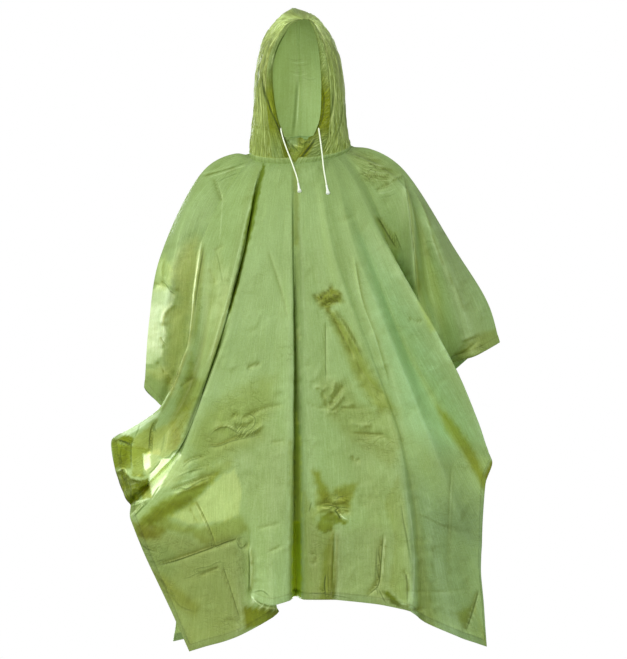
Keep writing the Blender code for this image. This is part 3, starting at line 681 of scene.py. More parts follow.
    ("notch", (0.6, 0.5, 0.08), 1.5, 0.2, ((493, 458), (494, 470), (488, 482), (484, 474))),
    ("corner_patch", (0.76, 0.72, 0.3), 3.5, 0.3, ((457, 613), (473, 604), (466, 626), (459, 621))),
    ("shoulder_crumples", (0.92, 0.88, 0.74), 6, 0.8, (
        (346, 148), (372, 150), (402, 172), (388, 186), (362, 180))),
    ("sleeve_cuff", (0.86, 0.8, 0.55), 3, 0.5, ((450, 364), (474, 336), (496, 328), (501, 343), (480, 358))),
))

# Painted shade and painted highlights of named places on the back, in the same columns.
BACK_SHADES = table(Shade, (
    ("back_streak", (0.88, 0.84, 0.6), 5, 0.6, (
        (258, 316), (270, 322), (262, 344), (256, 366), (246, 384), (240, 376), (248, 350), (254, 332))),
    ("back_star", (0.9, 0.86, 0.66), 6, 0.6, (
        (318, 416), (338, 420), (364, 408), (356, 430), (340, 440), (328, 460), (320, 450), (330, 434))),
    ("back_hem_star", (0.84, 0.8, 0.52), 4, 0.6, (
        (264, 542), (284, 530), (302, 534), (296, 546), (284, 560), (270, 556))),
    ("back_corner_tone", (0.84, 0.8, 0.66), 12, 0.4, (
        (196, 520), (232, 500), (244, 560), (236, 620), (190, 640))),
    ("back_corner_fold", (0.84, 0.79, 0.48), 4, 0.3, (
        (196, 540), (214, 522), (232, 512), (220, 530), (204, 556))),
    ("back_left_tone", (0.84, 0.82, 0.74), 12, 0.4, (
        (396, 500), (430, 520), (448, 600), (410, 610), (392, 560))),
    ("back_sleeve_light", (1.3, 1.22, 1.3), 5, 0.2, (
        (436, 236), (452, 270), (464, 310), (450, 306), (438, 270))),
    ("back_hand_light", (1.3, 1.22, 1.3), 5, 0.2, (
        (160, 300), (178, 262), (184, 290), (170, 340), (158, 350))),
))


def polygon_depth(points, x, y):
    """Distance inside (above 0) or outside (below 0) of a polygon of the front view."""
    inside = np.zeros(x.shape, bool)
    for (ax, ay), (bx, by) in zip(points, points[1:] + points[:1]):
        crosses = (ay > y) != (by > y)
        height = by - ay if by != ay else 1e-9
        inside ^= crosses & (x < ax + (bx - ax) * (y - ay) / height)
    distance = near_line(points + points[:1], x, y)[0]
    return np.where(inside, distance, -distance)


# How dark (below 0) or light (above 0) a drawn line is.
DARK = -0.5
DEEP = -0.85
PALE = 0.35
BRIGHT = 1.0

# Wrinkles too narrow to be modelled: their shaded and their lit lines.
FRONT_STROKES = table(Stroke, (
    # the pleat beside the left-hand sleeve
    (-0.3, 2.0, ((264, 162), (259, 182), (254, 202), (248, 225), (243, 246))),
    (DEEP, 1.5, ((256, 196), (251, 216), (245, 240), (239, 268), (233, 292), (228, 314))),
    (PALE, 1.2, ((257, 175), (252.4, 195), (245.8, 220), (240, 245), (234.6, 268), (229.4, 290))),
    (-0.9, 2.5, ((230, 315), (220, 345), (209, 374), (197, 405), (187, 432), (181, 449))),
    # shoulder on the right
    (-0.2, 0.9, ((350, 154), (360, 158), (372, 161), (384, 162))),
    (-0.25, 0.9, ((353, 160), (364, 165), (376, 168), (390, 170))),
    (-0.2, 0.9, ((356, 167), (366, 173), (377, 176), (391, 177))),
    (-0.2, 0.9, ((360, 175), (369, 181), (380, 184))),
    (-0.25, 0.9, ((372, 189), (384, 188), (394, 184))),
    (-0.2, 0.9, ((378, 197), (388, 196), (398, 192))),
    (0.3, 0.9, ((352, 157), (362, 161), (374, 164), (387, 166))),
    (0.3, 0.9, ((357, 164), (367, 169), (378, 172), (391, 173))),
    (0.35, 1.0, ((361, 171), (370, 177), (381, 180), (393, 180))),
    (0.3, 1.0, ((376, 193), (387, 192), (397, 188))),
    # shoulder on the left
    (-0.3, 1.0, ((252, 160), (240, 164), (226, 169), (212, 173), (200, 177))),
    (0.4, 1.0, ((250, 164), (238, 167), (224, 172), (208, 177))),
    (-0.3, 1.0, ((240, 172), (228, 176), (216, 182))),
    (-0.3, 1.0, ((216, 178), (219, 190), (223, 204))),
    (0.3, 1.0, ((222, 188), (222, 204), (221, 222), (219, 244))),
    (-0.3, 1.1, ((216, 250), (220, 268), (223, 286))),
    # flap
    (DEEP, 1.4, ((117, 440), (124, 442), (131, 445))),
    (DARK, 1.2, ((133, 437), (131, 446), (131, 468))),
    (DEEP, 1.1, ((157, 418), (152, 426), (150, 434), (149, 447), (148, 452))),
    (DARK, 1.4, ((158, 418), (154, 428), (157, 433))),
    (DARK, 1.2, ((153, 434), (152, 444), (152, 452))),
    (DARK, 1.0, ((143, 455), (142.5, 463), (144, 470))),
    (DEEP, 1.1, ((161, 458), (160, 461), (155, 468), (149, 474))),
    (DARK, 1.0, ((162, 458), (169, 457), (173, 452), (179, 449))),
    (DEEP, 1.2, ((160, 485), (156, 491), (151, 499))),
    (BRIGHT, 1.1, ((116, 472), (120, 470), (123, 468), (126, 471), (125, 476))),
    (PALE, 1.3, ((123, 478), (125, 485), (126, 493))),
    (BRIGHT, 1.4, ((137, 476), (141, 475))),
    (PALE, 2.0, ((139, 484), (138, 488), (142, 490))),
    (PALE, 2.4, ((144, 490), (146, 496))),
    (BRIGHT, 1.1, ((131, 505), (134, 502.5), (142, 500.5), (151, 498))),
    (DARK, 1.1, ((132, 507), (140, 504), (147, 501))),
    (BRIGHT, 0.9, ((130, 517), (137, 509), (145, 501))),
    (DEEP, 1.2, ((133, 518), (140, 510), (150, 500))),
    (DEEP, 1.2, ((118, 476), (120, 486), (124, 496), (129, 503))),
    (DARK, 1.2, ((129, 480), (131, 490), (130, 500))),
    (BRIGHT, 1.0, ((121, 476), (123, 484), (123, 491))),
    (PALE, 1.2, ((134, 494), (137, 499), (134, 503))),
    (DARK, 1.3, ((121, 447), (120, 456), (122, 466))),
    (DARK, 1.1, ((140, 424), (137, 432), (134, 438))),
    (-0.3, 1.4, ((165, 432), (163, 444), (160, 456))),
    (0.3, 1.4, ((169, 428), (167, 442), (165, 454))),
    # below the flap
    (DARK, 1.1, ((169, 491), (176, 490), (180, 488), (187, 489), (192, 486), (201, 481), (213, 477))),
    (PALE, 1.0, ((171, 493), (178, 492), (186, 490), (192, 488), (203, 483))),
    (DARK, 1.2, ((176, 478), (186, 473), (196, 470), (206, 468))),
    (PALE, 1.0, ((180, 482), (190, 479), (200, 475))),
    (DARK, 1.0, ((182, 468), (190, 461), (200, 458))),
    # the star above the hem
    (DEEP, 1.0, ((322, 505), (330, 505), (335, 506.5), (341, 510))),
    (BRIGHT, 0.9, ((321, 507), (328, 507.5), (333, 505))),
    (BRIGHT, 0.9, ((334, 506), (339, 512), (343, 517), (349, 520))),
    (DEEP, 1.0, ((334, 509), (338, 514), (341, 519))),
    (DARK, 0.9, ((324, 510), (329, 509), (334, 507), (342, 507), (350, 508))),
    (PALE, 0.9, ((337, 508), (343, 508.5), (350, 510))),
    (DARK, 1.0, ((312, 501), (310, 507), (309, 512))),
    (DARK, 0.9, ((336, 500), (338, 497), (344, 496))),
    # panels at the hem
    (DARK, 1.8, ((334, 530), (333.5, 548), (332, 570), (332, 599))),
    (DEEP, 1.1, ((326, 572), (324.5, 585), (326, 599))),
    (PALE, 1.2, ((336.5, 532), (336, 555), (335.5, 580), (336, 597))),
    (DEEP, 0.9, ((383, 531), (382, 548), (380.5, 566), (378, 585), (371, 592), (364, 598))),
    (PALE, 1.0, ((385, 534), (384, 555), (382, 575))),
    (DARK, 1.4, ((377, 545), (376, 565), (375, 583))),
    (DARK, 1.0, ((378, 588), (382, 596), (386, 603))),
    (PALE, 1.4, ((408, 500), (412, 530), (414, 560), (413, 590), (411, 605))),
    (DARK, 1.2, ((400, 500), (403, 520), (407, 540), (411, 566))),
    (DARK, 1.1, ((403, 570), (406, 576), (407, 590), (407, 605))),
    (DARK, 0.8, ((304, 593), (320, 593), (336, 595), (352, 598))),
    (-0.6, 1.0, ((291.8, 166), (292.4, 220), (294, 300), (295.6, 350), (295.8, 400), (295, 428))),
    (-0.6, 1.0, ((479, 588), (475.5, 602), (470.5, 618), (465.5, 632))),
    (PALE, 0.9, ((477, 590), (473, 604), (468, 619))),
    # pack creases
    (DARK, 0.8, ((325.5, 318), (325.5, 352), (325.8, 386))),
    # a narrow dark crease in the armpit and the one down the sleeve
    (-0.7, 1.1, ((376, 215), (382, 224), (389, 236), (398, 250))),
    (-0.5, 1.0, ((394, 231), (398, 240), (402, 251))),
    (DARK, 1.0, ((404, 172), (408, 200), (412, 236), (416, 272), (418, 301))),
    # sleeve on the left
    (BRIGHT, 0.9, ((202, 238), (198, 262), (194, 290), (191, 320), (187.5, 346))),
    (PALE, 1.0, ((187, 346), (178, 370), (168, 394), (161, 408))),
    (DARK, 1.0, ((205, 240), (201, 264), (197, 290), (193.5, 320))),
    (DARK, 0.9, ((160, 280), (166, 285), (170, 291), (176, 295))),
    (DARK, 0.9, ((160, 337), (163, 342), (166, 345))),
    # the pocket of crumples at the belly
    (DARK, 0.9, (
        (209, 436), (216, 430), (226, 427), (233, 430), (240, 434), (250, 434), (258, 429), (264, 424))),
    (PALE, 0.9, ((210, 434), (217, 428), (226, 425), (234, 428), (241, 432))),
    (DARK, 0.9, (
        (237, 418), (235, 424), (239, 430), (247, 431), (254, 426), (255, 418), (249, 414), (241, 414))),
    (DARK, 0.9, ((242, 420), (241, 425), (246, 427), (250, 422))),
    (DARK, 1.0, ((205, 447), (219, 446), (232, 441), (246, 438), (262, 434))),
    (PALE, 1.0, ((206, 444), (220, 443), (232, 438.5), (246, 435))),
    # the lower left-hand corner
    (DEEP, 1.0, ((157, 566), (175, 561), (195, 554), (214, 547), (229, 541), (246, 536))),
    (PALE, 0.9, ((158, 564), (176, 559), (196, 552), (214, 545))),
    (DARK, 0.9, ((196, 500), (205, 518), (211, 532), (216, 548))),
    (PALE, 0.9, ((194, 501), (203, 519), (209, 533))),
    (DARK, 0.9, ((221, 560), (231, 590), (241, 622))),
    (-0.3, 1.6, ((150, 571), (158, 577), (168, 588))),
    (-0.25, 1.6, ((160, 582), (170, 590), (176, 600))),
    (-0.4, 1.2, ((139, 541), (143, 546), (150, 550), (158, 552))),
    (-0.35, 0.9, ((182, 579), (190, 577), (198, 573), (208, 571), (220, 567))),
    (-0.35, 0.9, ((190, 571), (200, 568), (210, 566), (218, 562), (228, 563))),
    (-0.3, 1.2, ((160, 588), (170, 594), (180, 606), (196, 612))),
    (0.2, 2.0, ((152, 580), (162, 600), (172, 622))),
    (-0.3, 1.2, ((146, 560), (156, 562), (166, 558))),
    (DEEP, 1.1, ((248.5, 546), (249.5, 566), (249, 594))),
    (PALE, 1.1, ((251, 546), (252, 566), (251.5, 592))),
    (DARK, 1.0, ((236, 540), (241, 548), (247, 543))),
    (BRIGHT, 1.3, ((250, 592), (255, 600), (262, 605.5), (272, 608), (288, 608))),
    (DARK, 1.2, ((253, 592), (262, 590), (270, 596))),
))

# Painted shade lines (below 0) and painted highlight lines (above 0) of the back's wrinkles.
BACK_STROKES = table(Stroke, (
    (-0.28, 1.2, ((264, 318), (257, 334), (253, 352), (244, 372))),
    (0.2, 1.1, ((267, 320), (260, 336), (256, 354))),
    (-0.28, 1.1, ((338, 430), (347, 421), (360, 415))),
    (-0.28, 1.1, ((337, 431), (331, 442), (326, 455))),
    (-0.28, 1.0, ((336, 429), (326, 424), (317, 423))),
    (0.2, 1.0, ((339, 434), (349, 426), (361, 421))),
    (-0.28, 1.2, ((270, 546), (282, 538), (296, 536))),
    (0.2, 1.0, ((272, 550), (284, 542), (297, 540))),
    (-0.28, 1.2, ((216, 556), (208, 584), (200, 612))),
    (-0.3, 1.0, ((300, 290), (300, 380), (301, 470))),
    (-0.15, 1.0, ((212, 392), (256, 389), (300, 390), (346, 391), (396, 397))),
    (-0.15, 1.0, ((200, 500), (252, 497), (300, 498), (352, 500), (418, 509))),
    (-0.28, 1.3, ((392, 548), (400, 580), (408, 606))),
))

# Painted shade and painted highlights in soft long bands of the drape.
FRONT_TONES = table(Stroke, (
    ((0.8, 0.8, 0.7), 0.9, ((454, 457), (452, 500), (450, 560), (452, 602))),
    ((1.15, 1.14, 1.2), 1.0, ((452.5, 457), (450, 500), (448, 560), (450, 602))),
    ((0.8, 0.8, 0.7), 1.1, ((415, 513), (430, 519), (444, 526), (480, 533))),
    ((1.15, 1.14, 1.2), 1.0, ((415, 511), (430, 517), (446, 524))),
    ((0.86, 0.88, 0.8), 3.0, ((325, 185), (338, 240), (352, 300), (366, 350), (384, 400))),
    ((1.1, 1.08, 1.1), 3.0, ((316, 180), (326, 240), (336, 290))),
    ((0.84, 0.87, 0.82), 3.2, ((340, 190), (360, 240), (380, 290), (404, 350), (424, 410))),
    ((1.12, 1.09, 1.14), 2.6, ((350, 250), (364, 300), (380, 344), (396, 390), (405, 440))),
    ((0.76, 0.74, 0.46), 2.6, ((204, 243), (201, 275), (197.5, 315), (193, 346))),
    ((0.62, 0.66, 0.3), 2.0, ((229, 315), (219, 345), (208, 374), (196, 405), (186, 432), (180, 449))),
    ((1.12, 1.1, 1.14), 1.6, ((345, 165), (372, 210), (400, 262), (430, 318), (450, 360))),
))

# Painted shade and painted highlight lines inside the hood.
HOOD_INSIDE_STROKES = table(Stroke, (
    (-0.5, 2.2, ((297.5, 76), (296, 96), (294.5, 116), (292, 137))),
    (0.25, 1.4, ((299.5, 80), (298, 100), (297, 120))),
    (-0.3, 0.9, ((299, 22), (299.2, 30), (299, 40))),
    (-0.18, 1.0, ((287, 56), (295, 58), (304, 56.5))),
    (-0.15, 0.9, ((293, 62), (301, 63.5), (311, 61))),
    (-0.15, 0.9, ((289, 69), (297, 70.5), (306, 69))),
    (0.3, 0.9, ((290, 60), (298, 61), (307, 59.5))),
    (0.25, 0.9, ((291, 72), (299, 73.5), (309, 71))),
    (-0.18, 0.9, ((302, 75), (310, 78), (317, 76))),
))

# Painted shade and painted highlight lines on the hood's outside, with painted shade along its edges.
HOOD_OUTSIDE_STROKES = table(Stroke, (
    (-0.45, 1.6, ((344, 92), (346.5, 122), (350, 146))),
    (-0.3, 1.4, ((254.5, 92), (252, 122), (249.5, 146))),
    (-0.4, 1.4, ((318, 20), (331, 38), (339, 62), (343, 88))),
    (-1.0, 1.8, ((261, 70), (263, 86), (268, 104), (275, 121), (283, 136), (291, 150))),
    (0.4, 1.2, ((264.5, 74), (267, 90), (272, 106), (279, 122))),
    (-0.6, 1.1, ((268, 40), (262, 55), (258, 75), (258, 96), (262, 118))),
    (-0.55, 1.1, ((281, 24), (272, 38), (266, 54), (263, 70))),
    (-0.6, 1.2, ((310, 19), (317, 28), (323, 40), (327, 54))),
    (0.5, 1.2, ((313, 20), (320, 31), (325, 44), (328, 58))),
    (-0.8, 1.4, ((333, 84), (333, 100), (330, 116), (323, 132), (312, 146), (302, 158))),
    (0.45, 1.3, ((336, 88), (335, 106), (331, 122), (323, 138), (313, 151))),
    (-0.5, 1.1, ((343, 96), (342, 116), (337, 134), (330, 150))),
))

# Painted shade and painted highlight lines on the tunnels round the face opening.
CASING_STROKES = table(Stroke, (
    (-0.5, 1.0, ((287, 137), (291, 145), (296, 152))),
    (1.0, 1.0, ((314, 137), (309, 144), (302, 153), (295, 162))),
    (-1.0, 1.6, ((317, 136), (311, 145), (304, 154), (297, 163))),
    (-1.0, 1.3, ((304, 18), (298, 21), (290, 28), (282, 39), (276.5, 50), (272.5, 63))),
    (1.0, 1.1, ((275, 52), (272.5, 59), (271.5, 66))),
    (-0.9, 1.3, ((263, 84), (268, 102), (275, 120), (283, 136), (291, 150), (297, 160))),
    (-0.6, 1.3, ((298, 140), (302, 144), (306, 142), (311, 141))),
    (-0.7, 1.0, ((290, 143), (295, 148), (299, 152))),
    (0.8, 1.0, ((293, 144), (299, 146), (304, 147))),
    (-0.7, 1.0, ((273, 66), (274.5, 85), (278, 108), (281, 128))),
    (0.7, 1.0, ((284, 140), (290, 149), (295, 156))),
    (-0.6, 1.2, ((322, 86), (324, 100), (322, 118), (317, 132))),
    (-0.8, 1.3, ((319, 112), (318, 124), (314, 136))),
))


# The noise that makes the named shades uneven, at their edges and over them.
EDGE_SEED = 91
UNEVEN_SEED = 92
# How far from a drawn line, in steps, its distance is still told to the material.
LINE_REACH = 5.0


def stroked(strokes, x, y, tint):
    """Paints shade or highlight in soft bands, thinner towards their ends."""
    for stroke, near, distance, share, _ in lines_near(strokes, x, y, 4, widths=2.5):
        strength = faded_ends(share, 0.15) * np.exp(-((distance / stroke.width) ** 2))
        tint[near, :3] *= 1 + strength[:, None] * (np.array(stroke.tint) - 1)


def line_layer(strokes, x, y):
    """Strength and signed distance, in widths, of the nearest dark line, then those of the nearest light one.

    The material draws the lines from these, finer than the mesh: a distance is even between two points of it.
    """
    layer = np.zeros((*x.shape, 4))
    nearest = np.full((2, *x.shape), LINE_REACH)
    for stroke, near, distance, share, side in lines_near(strokes, x, y, 4, margin=LINE_REACH):
        kind = 0 if stroke.tint < 0 else 1
        closer = distance < nearest[kind][near]
        found = (abs(stroke.tint) * faded_ends(share, 0.2), side * distance / stroke.width)
        for place, value in zip((2 * kind, 2 * kind + 1), found):
            layer[near, place] = np.where(closer, value, layer[near, place])
        nearest[kind][near] = np.where(closer, distance, nearest[kind][near])
    return layer


def shaded(shades, x, y, tint):
    """Paints shade and highlight on named places, softly at their edges, and sets how crinkled they are."""
    for shade in shades:
        near = within(shade.points, shade.soft, x, y)
        if not near.any():
            continue
        depth = polygon_depth(shade.points, x[near], y[near])
        depth += min(shade.soft, 1.5) * gradient_noise(x[near] / 5, y[near] / 5, EDGE_SEED)
        share = np.clip(0.5 + depth / (2 * shade.soft), 0, 1)
        share *= 1 - 0.3 * np.clip(gradient_noise(x[near] / 9, y[near] / 7, UNEVEN_SEED), 0, 1)
        share = smooth(share)
        tint[near, :3] *= 1 + share[:, None] * (np.array(shade.tint) - 1)
        tint[near, 3] += share * (shade.crinkle - tint[near, 3])


def tint_by(tint, share, change):
    """Changes red, green and blue by these shares where share is 1, and less where it is less."""
    tint[:, :, :3] *= 1 + share[:, :, None] * np.array(change)


def tint_wave(tint, wave, lit, dark):
    """Paler where a wave stands above 0, darker where it lies below."""
    wave = wave[:, :, None]
    tint[:, :, :3] *= 1 + np.where(wave > 0, wave * lit, wave * dark)


# ---------------------------------------------------------------- making objects


def grid_quads(grid, first):
    columns, rows = grid.shape[:2]
    number = first + np.arange(columns * rows).reshape(columns, rows)
    corners = [number[:-1, :-1], number[1:, :-1], number[1:, 1:], number[:-1, 1:]]
    return np.stack(corners, axis=-1).reshape(-1, 4)


def grid_mesh(name, grids, material, tints, flows, lines=None):
    """One smooth piece of quads through grids of points in millimetres.

    At each point: its tint, its place across and along the gathers, their strength, and the lines near it.
    """
    points = np.concatenate([grid.reshape(-1, 3) for grid in grids]) * MM
    firsts = np.cumsum([0] + [grid.shape[0] * grid.shape[1] for grid in grids])
    quads = np.concatenate([grid_quads(grid, first) for grid, first in zip(grids, firsts)])
    mesh = bpy.data.meshes.new(name)
    mesh.vertices.add(len(points))
    mesh.vertices.foreach_set("co", points.ravel())
    mesh.loops.add(quads.size)
    mesh.loops.foreach_set("vertex_index", quads.ravel())
    mesh.polygons.add(len(quads))
    mesh.polygons.foreach_set("loop_start", np.arange(0, quads.size, 4))
    mesh.polygons.foreach_set("loop_total", np.full(len(quads), 4))
    mesh.update(calc_edges=True)
    for layer_name, values in (("tint", tints), ("lines", lines)):
        if values is not None:
            layer = mesh.color_attributes.new(layer_name, "FLOAT_COLOR", "POINT")
            colors = np.concatenate([value.reshape(-1, 4) for value in values])
            layer.data.foreach_set("color", colors.ravel())
    layer = mesh.attributes.new("flow", "FLOAT_VECTOR", "POINT")
    layer.data.foreach_set("vector", np.concatenate([flow.reshape(-1, 3) for flow in flows]).ravel())
    return add_piece(name, mesh, material)


def ring_mesh(name, rings, material):
    """A closed piece through rings of points in millimetres, with the same number of points in each."""
    count, sides = rings.shape[:2]
    faces = [tuple(range(sides))[::-1]]
    for first in range(0, (count - 1) * sides, sides):
        for i in range(sides):
            a, b = first + i, first + (i + 1) % sides
            faces.append((a, b, b + sides, a + sides))
    faces.append(tuple(range((count - 1) * sides, count * sides)))
    mesh = bpy.data.meshes.new(name)
    mesh.from_pydata((rings.reshape(-1, 3) * MM).tolist(), [], faces)
    return add_piece(name, mesh, material)


def add_piece(name, data, material):
    obj = bpy.data.objects.new(name, data)
    data.materials.append(material)
    bpy.context.scene.collection.objects.link(obj)
    data.shade_smooth()
    return obj


def stand_for(made, node_name):
    """The piece rides the body and takes the place of its CAD solid."""
    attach(made, "root")
    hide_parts(node_name)


# ---------------------------------------------------------------- materials

FILM_DEEP = (0.32, 0.442, 0.17, 1)
FILM_PALE = (0.366, 0.508, 0.214, 1)
# Painted shade of the fine wrinkle lines.
WRINKLE_LINE_SHADE = (0.62, 0.6, 0.3, 1)
FILM_STREAK = (0.91, 0.918, 0.84, 1)
# Painted shade in the gathers' valleys and painted highlight on their ridges.
GATHER_VALLEY_SHADE = (0.46, 0.47, 0.1, 1)
GATHER_RIDGE_HIGHLIGHT = (1.5, 1.42, 1.7, 1)
# Painted shade and painted highlight of the drawn lines, and a painted highlight beside each shade line.
LINE_SHADE = (0.19, 0.25, 0.01, 1)
LINE_HIGHLIGHT = (2.0, 1.8, 2.6, 1)
LINE_EDGE_HIGHLIGHT = (1.3, 1.24, 1.4, 1)
# The light that comes through the film: its colour against the surface's, and its share.
THROUGH_TINT = (1.25, 1.15, 0.75, 1)
THROUGH_SHARE = 0.26
FILM_SHEEN = {
    "Specular IOR Level": 0.4,
    "Specular Tint": (0.9, 1.0, 0.6, 1),
    "Coat Weight": 0.06,
    "Coat Roughness": 0.3,
}
CORD_WHITE = (0.8, 0.83, 0.66)
PLASTIC_WHITE = (0.82, 0.84, 0.76)
FLOOR_PALE = (0.86, 0.86, 0.86)


def node(tree, kind, traits=None, **inputs):
    """A new node with its traits. Its inputs are set or linked by name, or by number as i0, i1 and so on."""
    made = tree.nodes.new(kind)
    for name, value in (traits or {}).items():
        setattr(made, name, value)
    for name, value in inputs.items():
        numbered = name[0] == "i" and name[1:].isdigit()
        socket = made.inputs[int(name[1:]) if numbered else name]
        if isinstance(value, bpy.types.NodeSocket):
            tree.links.new(value, socket)
        else:
            socket.default_value = value
    return made


def film_material():
    """Thin satin PVC film that light comes through; painted shade draws fine olive lines where crinkled."""
    material = bpy.data.materials.new("film")
    material.use_nodes = True
    tree = material.node_tree
    shader = tree.nodes["Principled BSDF"]
    place = node(tree, "ShaderNodeTexCoord").outputs["Object"]
    tint, flow, drawn = (
        node(tree, "ShaderNodeAttribute", {"attribute_name": name}) for name in ("tint", "flow", "lines")
    )

    def noise(scale, detail, roughness=0.5, distortion=0.0, stretch=(1, 1, 1), where=place):
        flat = node(tree, "ShaderNodeMapping", Vector=where, Scale=stretch).outputs["Vector"]
        settings = {"Scale": scale, "Detail": detail, "Roughness": roughness, "Distortion": distortion}
        return node(tree, "ShaderNodeTexNoise", Vector=flat, **settings).outputs["Fac"]

    def ranged(value, from_min, from_max, to_min=0.0, to_max=1.0):
        limits = {"From Min": from_min, "From Max": from_max, "To Min": to_min, "To Max": to_max}
        return node(tree, "ShaderNodeMapRange", Value=value, **limits).outputs["Result"]

    def math(kind, a, b=0.0):
        return node(tree, "ShaderNodeMath", {"operation": kind}, i0=a, i1=b).outputs[0]

    def times(a, b):
        return math("MULTIPLY", a, b)

    def tinted(share, color, by):
        traits = {"data_type": "RGBA", "blend_type": "MULTIPLY"}
        return node(tree, "ShaderNodeMix", traits, i0=share, i6=color, i7=by).outputs[2]

    def thin_line(value, middle, width):
        """1 where the value is at its middle, 0 a width away from it."""
        return ranged(math("ABSOLUTE", math("SUBTRACT", value, middle)), 0.0, width, 1.0, 0.0)

    def wrinkles(scale, stretch, width):
        """Thin bent lines: 1 in the wrinkle, 0 beside it."""
        return thin_line(noise(scale, 2.0, 0.5, 0.9, (1, 1, stretch)), 0.5, width)

    crinkle = tint.outputs["Alpha"]
    coarse = times(wrinkles(20, 2.8, 0.035), ranged(noise(15, 1), 0.47, 0.6))
    fine = times(wrinkles(55, 2.0, 0.07), ranged(noise(24, 1), 0.45, 0.6))
    lines = math("MAXIMUM", coarse, times(fine, 0.8))
    ramp = node(tree, "ShaderNodeValToRGB", Fac=noise(9, 4))
    for stop, position, color in zip(ramp.color_ramp.elements, (0.35, 0.7), (FILM_DEEP, FILM_PALE)):
        stop.position, stop.color = position, color
    color = tinted(1.0, ramp.outputs["Color"], tint.outputs["Color"])
    # painted shade along the fine wrinkle lines where the film is crinkled
    color = tinted(times(lines, times(crinkle, 0.75)), color, WRINKLE_LINE_SHADE)

    # painted shade in the gathers' valleys, painted highlight on their ridges, and fine streaks that follow
    # the drape
    along = flow.outputs["Vector"]
    gathered = node(tree, "ShaderNodeSeparateXYZ", Vector=along).outputs["Z"]
    gather = noise(125, 3, 0.62, 0.4, (1, 0.07, 0), along)
    creased_gather = thin_line(gather, 0.48, 0.03)
    second = noise(240, 2, 0.6, 0.4, (1, 0.07, 0), along)
    creased_second = thin_line(second, 0.47, 0.05)
    valleys = math("MAXIMUM", creased_gather, times(creased_second, 0.7))
    color = tinted(times(valleys, gathered), color, GATHER_VALLEY_SHADE)
    color = tinted(times(ranged(second, 0.52, 0.66), gathered), color, GATHER_RIDGE_HIGHLIGHT)
    color = tinted(ranged(noise(420, 2, 0.6, 0.3, (1, 0.04, 0), along), 0.35, 0.65), color, FILM_STREAK)
    color = tinted(ranged(noise(330, 2), 0.35, 0.65), color, FILM_STREAK)

    # painted shade lines and painted highlight lines on the film, and a painted highlight beside each shade
    # line
    parts = node(tree, "ShaderNodeSeparateColor", Color=drawn.outputs["Color"]).outputs
    dark_strength, dark_distance, light_strength = parts["Red"], parts["Green"], parts["Blue"]
    dark = ranged(math("ABSOLUTE", dark_distance), 0.0, 1.0, 1.0, 0.0)
    dark = times(math("POWER", dark, 0.7), dark_strength)
    light = times(ranged(math("ABSOLUTE", drawn.outputs["Alpha"]), 0.0, 1.0, 1.0, 0.0), light_strength)
    color = tinted(dark, color, LINE_SHADE)
    color = tinted(light, color, LINE_HIGHLIGHT)
    beside = times(ranged(dark_distance, 1.0, 2.2, 1.0, 0.0), dark_strength)
    beside = times(beside, ranged(dark_distance, 0.5, 1.0))
    color = tinted(beside, color, LINE_EDGE_HIGHLIGHT)
    tree.links.new(color, shader.inputs["Base Color"])
    tree.links.new(ranged(noise(22, 4, 0.6), 0.0, 1.0, 0.36, 0.52), shader.inputs["Roughness"])

    bumps = (
        (noise(30, 4, 0.5, 0.6), 0.004, 0.15),
        (gather, 0.006, gathered),
        (second, 0.003, gathered),
        (math("SUBTRACT", light, dark), 0.0012, 0.5),
        (math("SUBTRACT", 1.0, coarse), 0.0016, crinkle),
        (math("SUBTRACT", 1.0, fine), 0.0007, crinkle),
        (noise(900, 2), 0.0004, 0.1),
    )
    under = {}
    for height, distance, strength in bumps:
        bump = node(tree, "ShaderNodeBump", Height=height, Distance=distance, Strength=strength, **under)
        under = {"Normal": bump.outputs["Normal"]}
    tree.links.new(under["Normal"], shader.inputs["Normal"])
    for name, value in FILM_SHEEN.items():
        shader.inputs[name].default_value = value

    through = node(tree, "ShaderNodeBsdfTranslucent", Color=tinted(1.0, color, THROUGH_TINT), **under)
    surfaces = {"i1": shader.outputs["BSDF"], "i2": through.outputs["BSDF"]}
    both = node(tree, "ShaderNodeMixShader", Fac=THROUGH_SHARE, **surfaces)
    tree.links.new(both.outputs["Shader"], tree.nodes["Material Output"].inputs["Surface"])
    return material


def plain_material(name, color, roughness, bump_scale, bump_strength):
    material = bpy.data.materials.new(name)
    material.use_nodes = True
    tree = material.node_tree
    shader = tree.nodes["Principled BSDF"]
    shader.inputs["Base Color"].default_value = (*color, 1)
    shader.inputs["Roughness"].default_value = roughness
    place = node(tree, "ShaderNodeTexCoord").outputs["Object"]
    grain = node(tree, "ShaderNodeTexNoise", Vector=place, Scale=bump_scale, Detail=3.0).outputs["Fac"]
    bump = node(tree, "ShaderNodeBump", Height=grain, Strength=bump_strength, Distance=0.0005)
    tree.links.new(bump.outputs["Normal"], shader.inputs["Normal"])
    return material


# ---------------------------------------------------------------- camera, light and floor

CAMERA_DISTANCE = 36.0
SENSOR_SIZE = 36
SEEN_DEPTH = -0.15
VIEW_COLUMNS, VIEW_ROWS = 627, 659
VIEW_HEIGHT = VIEW_ROWS * STEP * MM
VIEW_CENTRE = ((VIEW_COLUMNS / 2 - ORIGIN_X) * STEP * MM, (ORIGIN_Y - VIEW_ROWS / 2) * STEP * MM)

# Size is the side of an area light in metres, or the opening of a spot in degrees.
Light = namedtuple("Light", "name kind place aim size power color")

